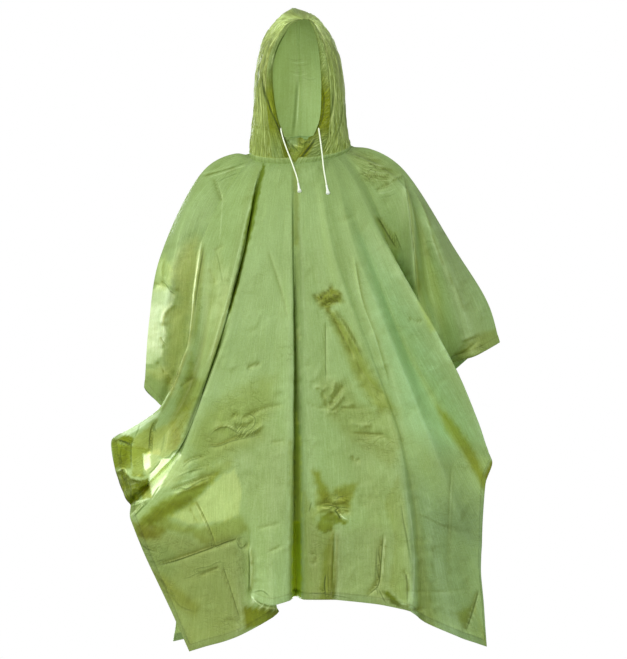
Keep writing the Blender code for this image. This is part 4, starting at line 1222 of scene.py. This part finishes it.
LIGHTS = (
    Light("front", "AREA", (-1.6, -4.4, 1.3), (0, 0, -0.4), 1.8, 125, (0.97, 1.0, 1.0)),
    Light("right", "AREA", (3.4, -3.0, 0.5), (0.1, 0, -0.4), 1.8, 55, (0.8, 1.0, 1.0)),
    Light("side", "AREA", (-3.2, -0.3, 0.8), (-0.2, 0, -0.45), 0.9, 55, (0.9, 1.0, 0.8)),
    Light("hood", "SPOT", (-0.1, -4.4, 0.5), (0, 0, 0.17), 6.5, 165, (1, 1, 1)),
    Light("back", "AREA", (-0.4, 3.6, -0.4), (0, 0, -0.5), 2.4, 120, (0.92, 1.0, 1.0)),
)
SPOT_BLEND = 0.6
SPOT_RADIUS = 0.15
SURROUNDING_LIGHT = 0.5
FLOOR_RADIUS = 1.7
FLOOR_LEVEL = -1.40
FLOOR_SIDES = 96


def make_camera():
    data = bpy.data.cameras.new("camera")
    data.lens = SENSOR_SIZE * (CAMERA_DISTANCE + SEEN_DEPTH) / VIEW_HEIGHT
    data.clip_end = 100
    camera = bpy.data.objects.new("camera", data)
    camera.location = (VIEW_CENTRE[0], -CAMERA_DISTANCE, VIEW_CENTRE[1])
    camera.rotation_euler = (np.pi / 2, 0, 0)
    bpy.context.scene.collection.objects.link(camera)
    bpy.context.scene.camera = camera


def make_light(light):
    data = bpy.data.lights.new(light.name, light.kind)
    data.energy = light.power
    data.color = light.color
    if light.kind == "AREA":
        data.size = light.size
    else:
        data.spot_size = np.radians(light.size)
        data.spot_blend = SPOT_BLEND
        data.shadow_soft_size = SPOT_RADIUS
    lamp = bpy.data.objects.new(light.name, data)
    lamp.location = light.place
    lamp.rotation_euler = (Vector(light.aim) - Vector(light.place)).to_track_quat("-Z", "Y").to_euler()
    lamp.visible_camera = False
    bpy.context.scene.collection.objects.link(lamp)


def make_studio():
    """White to the camera, with softer light all round, five lights and a pale round floor."""
    scene = bpy.context.scene
    scene.view_settings.view_transform = "Standard"
    world = bpy.data.worlds.new("studio")
    scene.world = world
    world.use_nodes = True
    tree = world.node_tree
    seen = node(tree, "ShaderNodeBackground", Color=(1, 1, 1, 1), Strength=1.0)
    lighting = tree.nodes["Background"]
    lighting.inputs["Color"].default_value = (1, 1, 1, 1)
    lighting.inputs["Strength"].default_value = SURROUNDING_LIGHT
    path = node(tree, "ShaderNodeLightPath")
    choices = {"i0": path.outputs["Is Camera Ray"], "i1": lighting.outputs[0], "i2": seen.outputs[0]}
    both = node(tree, "ShaderNodeMixShader", **choices)
    tree.links.new(both.outputs[0], tree.nodes["World Output"].inputs["Surface"])
    for light in LIGHTS:
        make_light(light)

    mesh = bpy.data.meshes.new("floor")
    angles = np.linspace(0, 2 * np.pi, FLOOR_SIDES, endpoint=False)
    rim = [(FLOOR_RADIUS * np.cos(a), FLOOR_RADIUS * np.sin(a), FLOOR_LEVEL) for a in angles]
    mesh.from_pydata(rim, [], [tuple(range(FLOOR_SIDES))])
    add_piece("floor", mesh, plain_material("floor_pale", FLOOR_PALE, 0.7, 40, 0.02))


# ---------------------------------------------------------------- the sheet

CREASE_LIFT = 1.5
PATCH_LIFT = 1.6
# Painted shade in hollows and painted highlight on ridges, then on the shaded and lit sides of wrinkles.
HOLLOW_SHADE = (0.12, 0.18, 0.4)
RIDGE_HIGHLIGHT = (0.1, 0.08, 0.25)
WRINKLE_LIT = (0.26, 0.22, 0.32)
WRINKLE_SHADED = (0.3, 0.33, 0.55)
CRINKLE_SEED = 90
# How far the hem's layer stands proud of the sheet in each of its rows, with the weld as a groove.
HEM_LIFT = (0.05, 0.7, 0.25, 0.8, 0.9, 0.9, 0.8, 0.1)
HEM_BRIGHTNESS = 1.07
HEM_WELD_TINT = (0.9, 0.88, 0.8)

SheetLook = namedtuple("SheetLook", "seed creases patches shades tones strokes")

SHEET_LOOKS = {
    "front": SheetLook(5, FRONT_CREASES, FRONT_PATCHES, FRONT_SHADES, FRONT_TONES, FRONT_STROKES),
    "back": SheetLook(9, BACK_CREASES, BACK_PATCHES, BACK_SHADES, (), BACK_STROKES),
}


def fold_gaps(lines):
    """Millimetres from each fold to the next, two thirds down the sheet."""
    level = 2 * lines.shape[1] // 3
    return np.linalg.norm(np.diff(lines[:, level], axis=0), axis=1)


def sheet_places(gaps, first, last, step):
    """Places from one fold to another, about evenly spaced over the sheet."""
    places = [first]
    for i in range(first, last):
        outer = i < len(FRONT_FOLDS) and FRONT_FOLDS[i].turn > OUTER_TURN
        count = max(5, round(gaps[i] / ((OUTER_STEP_SHARE if outer else 1.0) * step)))
        places += list(i + np.arange(1, count + 1) / count)
    return np.array(places, float)


def make_sheet(film):
    folds = FRONT_FOLDS + BACK_FOLDS
    lines = np.array([fold_line(fold) for fold in folds])
    lines = np.concatenate([lines, lines[:1]])
    gaps = fold_gaps(lines)
    at = curve_through(lines[:-1], closed=True)
    last_front = len(FRONT_FOLDS) - 1
    front = sheet_places(gaps, 0, last_front, FRONT_STEP)
    back = sheet_places(gaps, last_front, len(folds), BACK_STEP)
    for name, places in (("front", front), ("back", back)):
        sharp = hem_corners(folds, places, lines.shape[1])
        grid = np.array([crisp_line(lines, at, place, row) for place, row in zip(places, sharp)])
        grid = rounded_folds(grid, 0.75 * (1 - sharp))
        grid = dressed_sheet(name, grid)
        tint = sheet_tint(name, grid)
        flow = sheet_flow(gaps, places, grid)
        drawn = line_layer(SHEET_LOOKS[name].strokes, *front_view(grid))
        piece = grid_mesh("film_" + name, [grid], film, [tint], [flow], [drawn])
        hem = make_hem(name, grid, tint, flow, drawn, film)
        stand_for(piece, name)
        stand_for(hem, "hem_" + name)


def way_down(grid):
    """Millimetres from the neck to each point, down its column."""
    steps = np.linalg.norm(np.diff(grid, axis=1), axis=2)
    return np.concatenate([np.zeros((len(grid), 1)), np.cumsum(steps, axis=1)], axis=1)


def from_sides(columns, reach):
    """0 at the first and last column, 1 from reach columns inwards."""
    number = np.arange(columns)
    return np.clip(np.minimum(number, columns - 1 - number) / reach, 0, 1)[:, None]


def sheet_flow(gaps, places, grid):
    """Metres across the sheet and down it, and how strongly it is gathered: a little, more at the neck."""
    across = np.interp(places, np.arange(len(gaps) + 1), np.concatenate([[0], np.cumsum(gaps)]))
    down = way_down(grid)
    strength = 0.16 + 0.25 * np.exp(-down / 60)
    return np.stack([0 * down + across[:, None] * MM, down * MM, strength], axis=-1)


def hem_corners(folds, places, rows):
    """1 at the cut corners of the sheet's hem, 0 away from them."""
    near_hem = np.clip((np.arange(rows) / rows - 0.8) / 0.12, 0, 1)
    corners = [i for i, fold in enumerate(folds) if "corner" in fold.name and "swell" not in fold.name]
    distance = np.min([np.abs(places - i) for i in corners], axis=0)
    return np.exp(-((distance / 0.7) ** 4))[:, None] * near_hem


def crisp_line(lines, at, place, sharp):
    """The sheet's line at a place: rounded at the folds, and flatter between them than the CAD solid."""
    before = min(int(place), len(lines) - 2)
    straight = lines[before] + (lines[before + 1] - lines[before]) * (place - before)
    crispness = (CRISPNESS + (1 - CRISPNESS) * sharp)[:, None]
    return crispness * straight + (1 - crispness) * at(place)


def rounded_folds(grid, amount):
    """The film bends over a fold in two or three columns. The side edges stay where they are."""
    soft = box_mean(grid, 2, (0,))
    return grid + (amount * from_sides(len(grid), 3))[:, :, None] * (soft - grid)


def box_mean(values, reach, axes=(0, 1)):
    """The mean over grid neighbours along these axes."""
    size = 2 * reach + 1
    for axis in axes:
        width = [(0, 0)] * values.ndim
        width[axis] = (reach + 1, reach)
        total = np.cumsum(np.pad(values, width, mode="edge"), axis=axis)
        count = total.shape[axis]
        ahead = np.take(total, range(size, count), axis)
        values = (ahead - np.take(total, range(count - size), axis)) / size
    return values


def front_view(grid):
    return ORIGIN_X + grid[:, :, 0] / STEP, ORIGIN_Y - grid[:, :, 2] / STEP


def film_tint(grid, depth, reach):
    """Colour and crinkle of each point: painted shade, olive, in hollows; painted highlight on ridges."""
    hollow = ((box_mean(grid, reach) - grid) * normals_of(grid)).sum(axis=2) / depth
    deep, high = np.clip(hollow, 0, 1), np.clip(-hollow, 0, 1)
    tint = np.ones((*grid.shape[:2], 4))
    tint[:, :, :3] -= deep[:, :, None] * HOLLOW_SHADE
    tint[:, :, :3] += high[:, :, None] * RIDGE_HIGHLIGHT
    x, y = front_view(grid)
    tint[:, :, 3] = 0.15 + 0.3 * np.clip(gradient_noise(x / 45, y / 45, CRINKLE_SEED), 0, 1)
    return tint


def wrinkle_height(look, x, y):
    """How far the creases and crumples of a sheet stand out at places of the front view, in millimetres."""
    crinkled = np.clip(0.3 + 1.3 * gradient_noise(x / 30, y / 30, look.seed + 3), 0, 1)
    height = 1.7 * crumple(x, y, 11, look.seed + 2) * crinkled
    height += CREASE_LIFT * creased(look.creases, x, y) + PATCH_LIFT * patched(look.patches, x, y)
    return height


def sheet_tint(name, grid):
    """More olive on the side of a wrinkle away from the light, paler on its other side."""
    look = SHEET_LOOKS[name]
    tint = film_tint(grid, 5.0, 5)
    x, y = front_view(grid)
    slope = wrinkle_height(look, x + 0.9, y + 0.8) - wrinkle_height(look, x - 0.9, y - 0.8)
    tint_wave(tint, np.clip(slope / 1.3, -1, 1), WRINKLE_LIT, WRINKLE_SHADED)
    shaded(look.shades, x, y, tint)
    stroked(look.tones, x, y, tint)
    return tint


def dressed_sheet(name, grid):
    """The sheet with its long soft wrinkles, creases and crumples."""
    look = SHEET_LOOKS[name]
    down = way_down(grid)
    x, y = front_view(grid)
    grown = np.clip((down - 30) / 300, 0.15, 1)
    lift = 1.4 * grown * gradient_noise(x / 42, y / 60, look.seed)
    lift += 2.6 * grown * crumple(x, y, 34, look.seed + 1)
    lift += np.clip((down - 10) / 60, 0.2, 1) * wrinkle_height(look, x, y)
    lift *= from_sides(len(grid), 6) * np.clip(down / 12, 0, 1)
    return grid + lift[:, :, None] * normals_of(grid)


def make_hem(name, grid, tint, flow, drawn, film):
    """The welded hem: a second layer on the sheet's last rows, turned round its edge."""
    rows = grid[:, -len(HEM_ROWS) :]
    normals = normals_of(grid)[:, -len(HEM_ROWS) :]
    outer = rows + np.array(HEM_LIFT)[None, :, None] * normals
    behind = rows[:, -1:] - 0.5 * normals[:, -1:]
    inner = rows[:, -3:-1][:, ::-1] - 0.6 * normals[:, -3:-1][:, ::-1]
    band = np.concatenate([outer, behind, inner], axis=1)
    same = [*range(-len(HEM_ROWS), 0), -1, -2, -3]
    colors = tint[:, same].copy()
    colors[:, :, :3] *= HEM_BRIGHTNESS
    colors[:, 1:3, :3] *= HEM_WELD_TINT
    return grid_mesh("weld_hem_" + name, [band], film, [colors], [flow[:, same]], [drawn[:, same]])


# ---------------------------------------------------------------- the hood

# Where the tunnel starts on the way from the centre seam (0) to the face opening (1).
CASING_SHARE = 1 - 3 / 22
# One place along the hood, from one section to the next, is about 34 mm.
PLACE_LENGTH = 0.034
HOOD_END = len(HOOD_SECTIONS) + 1
HOOD_SEEDS = {"left": 21, "right": 33}
CROWN_SEED = 61
CASING_SEEDS = {"left": 50, "right": 60}
# Painted light on the hood's smoother back, and painted shade that makes its gathered front olive.
HOOD_BACK_PAINTED_LIGHT = np.array((1.06, 1.08, 1.3))
HOOD_FRONT_SHADE = np.array((1.06, 0.95, 0.7))
# Painted shade of the tunnels where the cord gathers them.
CASING_SHADES = {"right": (0.7, 0.63, 0.06), "left": (0.54, 0.48, 0.0)}
GATHER_LIT = (0.2, 0.2, 0.3)
GATHER_SHADED = (0.36, 0.35, 0.55)
PUCKER_LIT = (0.1, 0.1, 0.15)
PUCKER_SHADED = (0.15, 0.16, 0.25)
NECK_SEAM_TINT = (0.97, 0.95, 0.85, 0.3)
NECK_SEAM_PLACES = (0, 0.03, 0.06, 0.12, 0.18, 0.2)
NECK_SEAM_LIFT = (0.3, 0.8, 1.2, 1.2, 1.0, 0.1)

Gather = namedtuple("Gather", "count depth")
GATHERS = (Gather(19, 1.0), Gather(33, 0.8), Gather(54, 0.5))


def hood_section(section, side, shares):
    """Points from the centre seam round one side to the face opening, at one height."""
    width = getattr(section, "side_" + side) - section.seam_x
    rim = getattr(section, "rim_" + side) - section.seam_x
    curl = np.radians(90 + section.curl)
    reach = (width - rim) / (1 - np.cos(curl))
    rise = section.back_z - section.side_z
    points = []
    for share in shares:
        if share < 0.5:
            towards_seam = 1 - 2 * share
            round_rise = np.sin(np.pi / 2 * towards_seam)
            up = round_rise + section.peak * (towards_seam - round_rise)
            x = width * np.cos(np.pi / 2 * towards_seam)
            y = section.side_y + (section.back_y - section.side_y) * round_rise
            z = section.side_z + rise * up
        else:
            angle = curl * (2 * share - 1)
            x = width - reach * (1 - np.cos(angle))
            y = section.side_y + (section.front_y - section.side_y) * np.sin(angle)
            z = section.side_z - HOOD_SAGS_FORWARDS * rise * np.sin(angle)
        points.append((section.seam_x + x, y, z))
    return points


def hood_base_row(side, shares):
    if side == "right":
        turns = -180 + (180 + HOOD_MEETS_AT - HOOD_STOPS_SHORT) * shares
    else:
        turns = 180 - (180 - HOOD_MEETS_AT - HOOD_STOPS_SHORT) * shares
    return [neck_point(turn) + (0, 0, SEAM_GAP) for turn in turns]


def hood_surface(side, shares, places):
    rows = [hood_base_row(side, shares)]
    rows += [hood_section(section, side, shares) for section in (*HOOD_SECTIONS, BRIM_END)]
    at = curve_through(np.array(rows, float))
    return np.array([at(place) for place in places]).transpose(1, 0, 2)


def gather_lines(side, share, place):
    """Shaded (below 0) and lit (above 0) lines of the gathers that rise from the neck seam, bent a little."""
    seed = HOOD_SEEDS[side]
    bend = 1.1 * gradient_noise(share * 4, place * 0.6, seed)
    bend = bend + 0.35 * gradient_noise(share * 10, place * 1.9, seed + 1)
    total = np.zeros_like(share)
    for number, gather in enumerate(GATHERS):
        phase = gather.count * share + (1 + 0.5 * number) * bend + 0.3 * number
        uneven = gradient_noise(share * (7 + 3 * number), place * 1.2, seed + 4 + number)
        strength = np.clip(0.35 + 1.2 * uneven, 0, 1.2)
        total -= gather.depth * strength * np.exp(-((np.sin(np.pi * phase) / 0.3) ** 2))
        total += 0.9 * gather.depth * strength * np.exp(-((np.sin(np.pi * (phase - 0.27)) / 0.35) ** 2))
    return total


def gathered_front(share, place):
    """1 on the gathered front of the hood and over its crown, little at the smoother back."""
    crown = 0.4 * np.clip((place - 5) / 2, 0, 1)
    return np.clip((share - 0.2 + crown) / 0.32, 0.1, 1)


def hood_lift(side, share, place):
    """Gathers that rise from the neck seam, small crumples towards the crown and the groove of the seam."""
    seed = HOOD_SEEDS[side] + 3
    rising = np.clip(place / 0.35, 0, 1)
    fading = np.clip(1.2 - place / 9, 0.3, 1)
    front = gathered_front(share, place)
    lift = 1.9 * gather_lines(side, share, place) * rising * fading * front
    lift += 1.0 * rising * front * gradient_noise(share * 14, place * 2.4, seed)
    crown = np.clip((place - 3.8) / 2.5, 0, 1) * np.clip((8 - place) / 1.5, 0, 1)
    lift += 2.0 * crown * crumple(share * 240, place * 34, 30, seed + 1) * np.clip(share / 0.12, 0, 1)
    lift += 1.2 * crumple(share * 180, place * 60, 30, seed + 2) * (1.1 - front) * rising
    lift -= 1.8 * np.exp(-((share / 0.01) ** 2))
    calm = np.clip((CASING_SHARE - share) / 0.02, 0, 1)
    ends = np.clip((HOOD_END - place) / 1.6, 0, 1)
    return lift * (0.25 + 0.75 * calm) * ends


def hood_tint(side, grid, share, place):
    """Gathered front more olive than the sheet, by painted shade; painted light on the smoother back."""
    tint = film_tint(grid, 1.2, 3)
    front = (gathered_front(share, place) - 0.1) / 0.9
    tint[:, :, :3] *= (1 - front)[:, :, None] * HOOD_BACK_PAINTED_LIGHT + front[:, :, None] * HOOD_FRONT_SHADE
    wave = gather_lines(side, share, place) * np.clip(place / 0.5, 0, 1)
    tint_wave(tint, np.clip(front * wave, -1.2, 1.2), GATHER_LIT, GATHER_SHADED)
    # painted shade and painted highlight on the crumples towards the crown
    crumples = crumple(share * 240, place * 34, 18, CROWN_SEED) * np.clip((place - 3.2) / 2, 0, 1)
    tint_by(tint, front * crumples, (0.5, 0.5, 0.7))
    # painted light over the crown
    crown = np.clip((place - 5) / 2, 0, 1) * np.clip((share - 0.15) / 0.4, 0, 1)
    tint_by(tint, crown * front, (1.12, 1.08, 2.1))
    # painted shade on the right side, round place 4
    if side == "right":
        tint_by(tint, np.clip(1 - np.abs(place - 4) / 2.5, 0, 1) * front, (-0.1, -0.13, -0.16))
    # painted light low down by the neck seam
    tint_by(tint, np.clip(1 - place / 0.28, 0, 1), (0.6, 0.6, 0.8))
    tint[:, :, 3] = 0.1 + 0.1 * front
    return tint


def make_hood(film):
    shares = np.linspace(0, 1, HOOD_COLUMNS)
    places = np.concatenate([np.linspace(0, 0.3, 14)[:-1], np.linspace(0.3, HOOD_END, HOOD_PLACES)])
    share, place = np.meshgrid(shares, places, indexing="ij")
    left, right = (hood_surface(side, shares, places) for side in ("left", "right"))
    whole = np.concatenate([left[::-1], right[1:]])
    normals = normals_of(whole)
    left, right = (hood_lift(side, share, place) for side in ("left", "right"))
    whole = whole + np.concatenate([left[::-1], right[1:]])[:, :, None] * normals
    middle = HOOD_COLUMNS - 1
    for side, columns in (("left", slice(0, middle + 1)), ("right", slice(middle, None))):
        grid = whole[columns]
        spread = share[::-1] if side == "left" else share
        tint = hood_tint(side, grid, spread, place)
        strength = (gathered_front(spread, place) - 0.1) / 0.9 * np.clip(place / 0.3, 0.3, 1)
        strength *= np.clip((spread - 0.2) / 0.4, 0.3, 1)
        across = spread * 0.25 + (side == "left")
        flow = np.stack([across, place * PLACE_LENGTH, 0.06 + 0.9 * strength], axis=-1)
        outside, inside = (
            line_layer(strokes, *front_view(grid)) for strokes in (HOOD_OUTSIDE_STROKES, HOOD_INSIDE_STROKES)
        )
        drawn = np.where((spread > 0.4)[:, :, None], outside, inside)
        piece = grid_mesh("film_hood_" + side, [grid], film, [tint], [flow], [drawn])
        casing = make_casing(side, film)
        if side == "left":
            seam = make_neck_seam(whole, normals, places, film)
            stand_for(seam, "neck_seam")
        stand_for(piece, "hood_" + side)
        stand_for(casing, "casing_" + side)


def make_neck_seam(whole, normals, places, film):
    """The welded ledge between hood and sheet."""
    rows = np.searchsorted(places, NECK_SEAM_PLACES)
    band = whole[:, rows] + np.array(NECK_SEAM_LIFT)[None, :, None] * normals[:, rows]
    band[:, 0, 2] -= 1.2
    turn = np.linspace(0, 0.5, len(band))[:, None] + 0 * places[rows]
    flow = np.stack([turn, 0 * turn, 0 * turn + 0.4], axis=-1)
    tint = np.ones((*band.shape[:2], 4)) * NECK_SEAM_TINT
    return grid_mesh("weld_neck", [band], film, [tint], [flow])


def casing_lift(side, across, place):
    """How far the tunnel stands off the hood, and how much of that is its puckers."""
    seed = CASING_SEEDS[side]
    tube = np.sqrt(np.clip(1 - (2 * across - 1) ** 2, 0, 1))
    bend = 0.8 * gradient_noise(place * 1.2, across * 1.2, seed)
    bend = bend + 0.2 * gradient_noise(place * 5, across * 2, seed + 1)
    pucker = 1.5 * np.abs(np.sin(np.pi * (7.5 * place + 0.8 * across + bend))) - 1
    strength = np.clip(0.7 + 0.6 * gradient_noise(place * 2.2, across * 1.2, seed + 2), 0, 1)
    strength *= 0.3 if side == "right" else 1
    top = np.clip((HOOD_END - place) / 1.5, 0.15, 1)
    uneven = 0.5 * gradient_noise(place * 8, across * 3, seed + 3)
    return 0.3 + tube * (1.6 + 0.7 * pucker * strength + uneven) * top, pucker * strength


def casing_tint(side, band, place, across, pucker):
    """Painted olive shade where the cord gathers it; the right rim: painted shade low, painted glint high."""
    tint = film_tint(band, 0.7, 2)
    gathered = np.clip(1.4 - np.abs(place - 2.3) / 1.7, 0.35, 1)
    throat = np.clip((1.3 - place) / 0.6, 0, 1) * np.clip((across - 0.45) / 0.3, 0, 1)
    # painted shade where the cord gathers the tunnel and at the throat
    tint_by(tint, np.maximum(gathered, throat), np.array(CASING_SHADES[side]) - 1)
    tint_wave(tint, pucker, PUCKER_LIT, PUCKER_SHADED)
    if side == "right":
        # painted shade low on the right rim, a painted glint higher up and a painted shadow line along its
        # turned-under edge
        rim = np.clip((2.4 - place) / 0.8, 0, 1) * np.clip((across - 0.5) / 0.3, 0, 1)
        tint_by(tint, rim, (-0.3, -0.3, -0.6))
        glint = np.exp(-(((across - 0.93) / 0.06) ** 2)) * np.exp(-(((place - 4.4) / 0.8) ** 2))
        tint_by(tint, glint, (0.6, 0.55, 0.9))
        tint[-1, :, :3] *= 0.35
    tint[:, :, 3] = 0.3
    return tint


def casing_flow(side, place, across):
    """Short gathers across the left tunnel, long folds along the right one."""
    if side == "left":
        return np.stack([place * PLACE_LENGTH + across * 0.02, across * 0.05, 0.7 + 0 * place], axis=-1)
    return np.stack([across * 0.05 + place * 0.006, place * PLACE_LENGTH, 0.8 + 0 * place], axis=-1)


def make_casing(side, film):
    """The tunnel round the face opening, puckered by the drawstring inside it."""
    shares = np.linspace(CASING_SHARE - 0.008, 1, CASING_COLUMNS)
    places = np.linspace(0.25, HOOD_END, CASING_PLACES)
    share, place = np.meshgrid(shares, places, indexing="ij")
    across = np.linspace(0, 1, CASING_COLUMNS)[:, None] + 0 * place
    edge = hood_surface(side, shares, places)
    out = normals_of(edge[::-1])[::-1] if side == "left" else normals_of(edge)
    edge = edge + hood_lift(side, share, place)[:, :, None] * out
    lift, pucker = casing_lift(side, across, place)
    band = np.concatenate([edge + lift[:, :, None] * out, edge[-1:] - 0.8 * out[-1:]])
    place, across, pucker = (np.concatenate([value, value[-1:]]) for value in (place, across, pucker))
    tint = casing_tint(side, band, place, across, pucker)
    flow = casing_flow(side, place, across)
    if side == "left":
        grids, tints, flows = [band[::-1]], [tint[::-1]], [flow[::-1]]
    else:
        tucked = tucked_end()
        tucked_flow = np.concatenate([tucked[:, :, ::2] * MM, np.full((*tucked.shape[:2], 1), 0.5)], axis=-1)
        grids, tints, flows = [band, tucked], [tint, tucked_tint(tucked)], [flow, tucked_flow]
    drawn = [line_layer(CASING_STROKES, *front_view(grid)) for grid in grids]
    return grid_mesh("casing_gathered_" + side, grids, film, tints, flows, drawn)


def tucked_end():
    """The end of one tunnel, bunched up behind the other where they cross at the throat."""
    u, v = np.meshgrid(np.linspace(0, 1, 40), np.linspace(0, 1, 36), indexing="ij")
    top_x = 282.5 + 31 * u
    top_y = 136.5 + 1.5 * np.sin(np.pi * u) - 1.5 * u + 0.8 * gradient_noise(u * 7, 0 * u, 77)
    top_y = top_y + 4 * np.exp(-(((u - 0.75) / 0.09) ** 2))
    low_x, low_y = 293 + 4 * u, 161.5 + 0 * u
    x, y = top_x + (low_x - top_x) * v, top_y + (low_y - top_y) * v
    depth = -97 + 12 * v + 9 * u * (1 - v) + 5.5 * crumple(x, y, 6, 78)
    return np.stack([(x - ORIGIN_X) * STEP, depth, (ORIGIN_Y - y) * STEP], axis=-1)


def tucked_tint(tucked):
    """Painted shade: olive below and to one side, darker up at the left, and down a fold from its top."""
    u = np.linspace(0, 1, len(tucked))[:, None, None]
    v = np.linspace(0, 1, tucked.shape[1])[None, :, None]
    lower = np.maximum(np.clip((v - 0.2) / 0.3, 0, 1), np.clip((u - 0.45) / 0.12, 0, 1))
    olive = 1 + lower * (np.array((0.84, 0.76, 0.3, 1)) - 1)
    tint = film_tint(tucked, 1.0, 2) * olive * (1 - (1 - lower) * (0.26, 0.25, 0.34, 0))
    fold = np.exp(-(((u - 0.58) / 0.12) ** 2)) * np.clip(1 - v / 0.45, 0, 1)
    tint[:, :, :3] *= 1 - fold * (0.38, 0.42, 0.7)
    return tint


# ---------------------------------------------------------------- cords

CORD_RINGS = 150
CORD_SIDES = 20
BELL_SIDES = 32

# Radius and distance from the end of the cord, in millimetres.
BELL_PROFILE = (
    (0.4, -0.2), (1.7, 0.0), (2.15, 0.35), (2.2, 1.2), (1.85, 1.6), (1.85, 2.1), (2.2, 2.5), (2.2, 7.0),
    (2.25, 8.6), (2.6, 11.5), (3.2, 14.8), (4.1, 18.4), (4.6, 19.9), (4.55, 20.7), (4.1, 21.0), (3.5, 20.7),
    (2.6, 18.0), (0.2, 17.2),
)


def ring(centre, radius, angles, way):
    """Points round a centre, square to the way."""
    across = unit(np.cross(way, (0.0, 1.0, 0.0)))
    beside = np.cross(way, across)
    return centre + radius * (np.cos(angles)[:, None] * across + np.sin(angles)[:, None] * beside)


def make_drawstring(side, route, cord_look, plastic_look):
    at = curve_through(np.array(route, float))
    line = spaced_along(at, len(route) - 1, lambda length: np.linspace(0, length, CORD_RINGS))
    angles = 2 * np.pi * np.arange(CORD_SIDES) / CORD_SIDES
    rings = []
    for i, (point, way) in enumerate(zip(line, unit(np.gradient(line, axis=0)))):
        braid = np.sin(5 * angles + i * 0.55) * np.sin(5 * angles - i * 0.55)
        radius = CORD_DIAMETER / 2 * (0.96 + 0.06 * braid)
        rings.append(ring(point, radius[:, None], angles, way))
    cord = ring_mesh("cord_" + side, np.array(rings), cord_look)
    stand_for(cord, "drawstring_" + side)
    bell = make_bell(side, line[-1], unit(line[-1] - line[-2]), plastic_look)


def make_bell(side, top, way, plastic_look):
    angles = 2 * np.pi * np.arange(BELL_SIDES) / BELL_SIDES
    rings = [ring(top + (SEAM_GAP + along) * way, radius, angles, way) for radius, along in BELL_PROFILE]
    bell = ring_mesh("bell_" + side, np.array(rings), plastic_look)
    stand_for(bell, "cord_end_" + side)
    return bell


# ---------------------------------------------------------------- the scene

make_camera()
make_studio()
cord_look = plain_material("cord_white", CORD_WHITE, 0.75, 1500, 0.3)
plastic_look = plain_material("plastic_white", PLASTIC_WHITE, 0.4, 300, 0.05)
make_drawstring("right", CORD_RIGHT, cord_look, plastic_look)
make_drawstring("left", CORD_LEFT, cord_look, plastic_look)
film = film_material()
make_sheet(film)
make_hood(film)
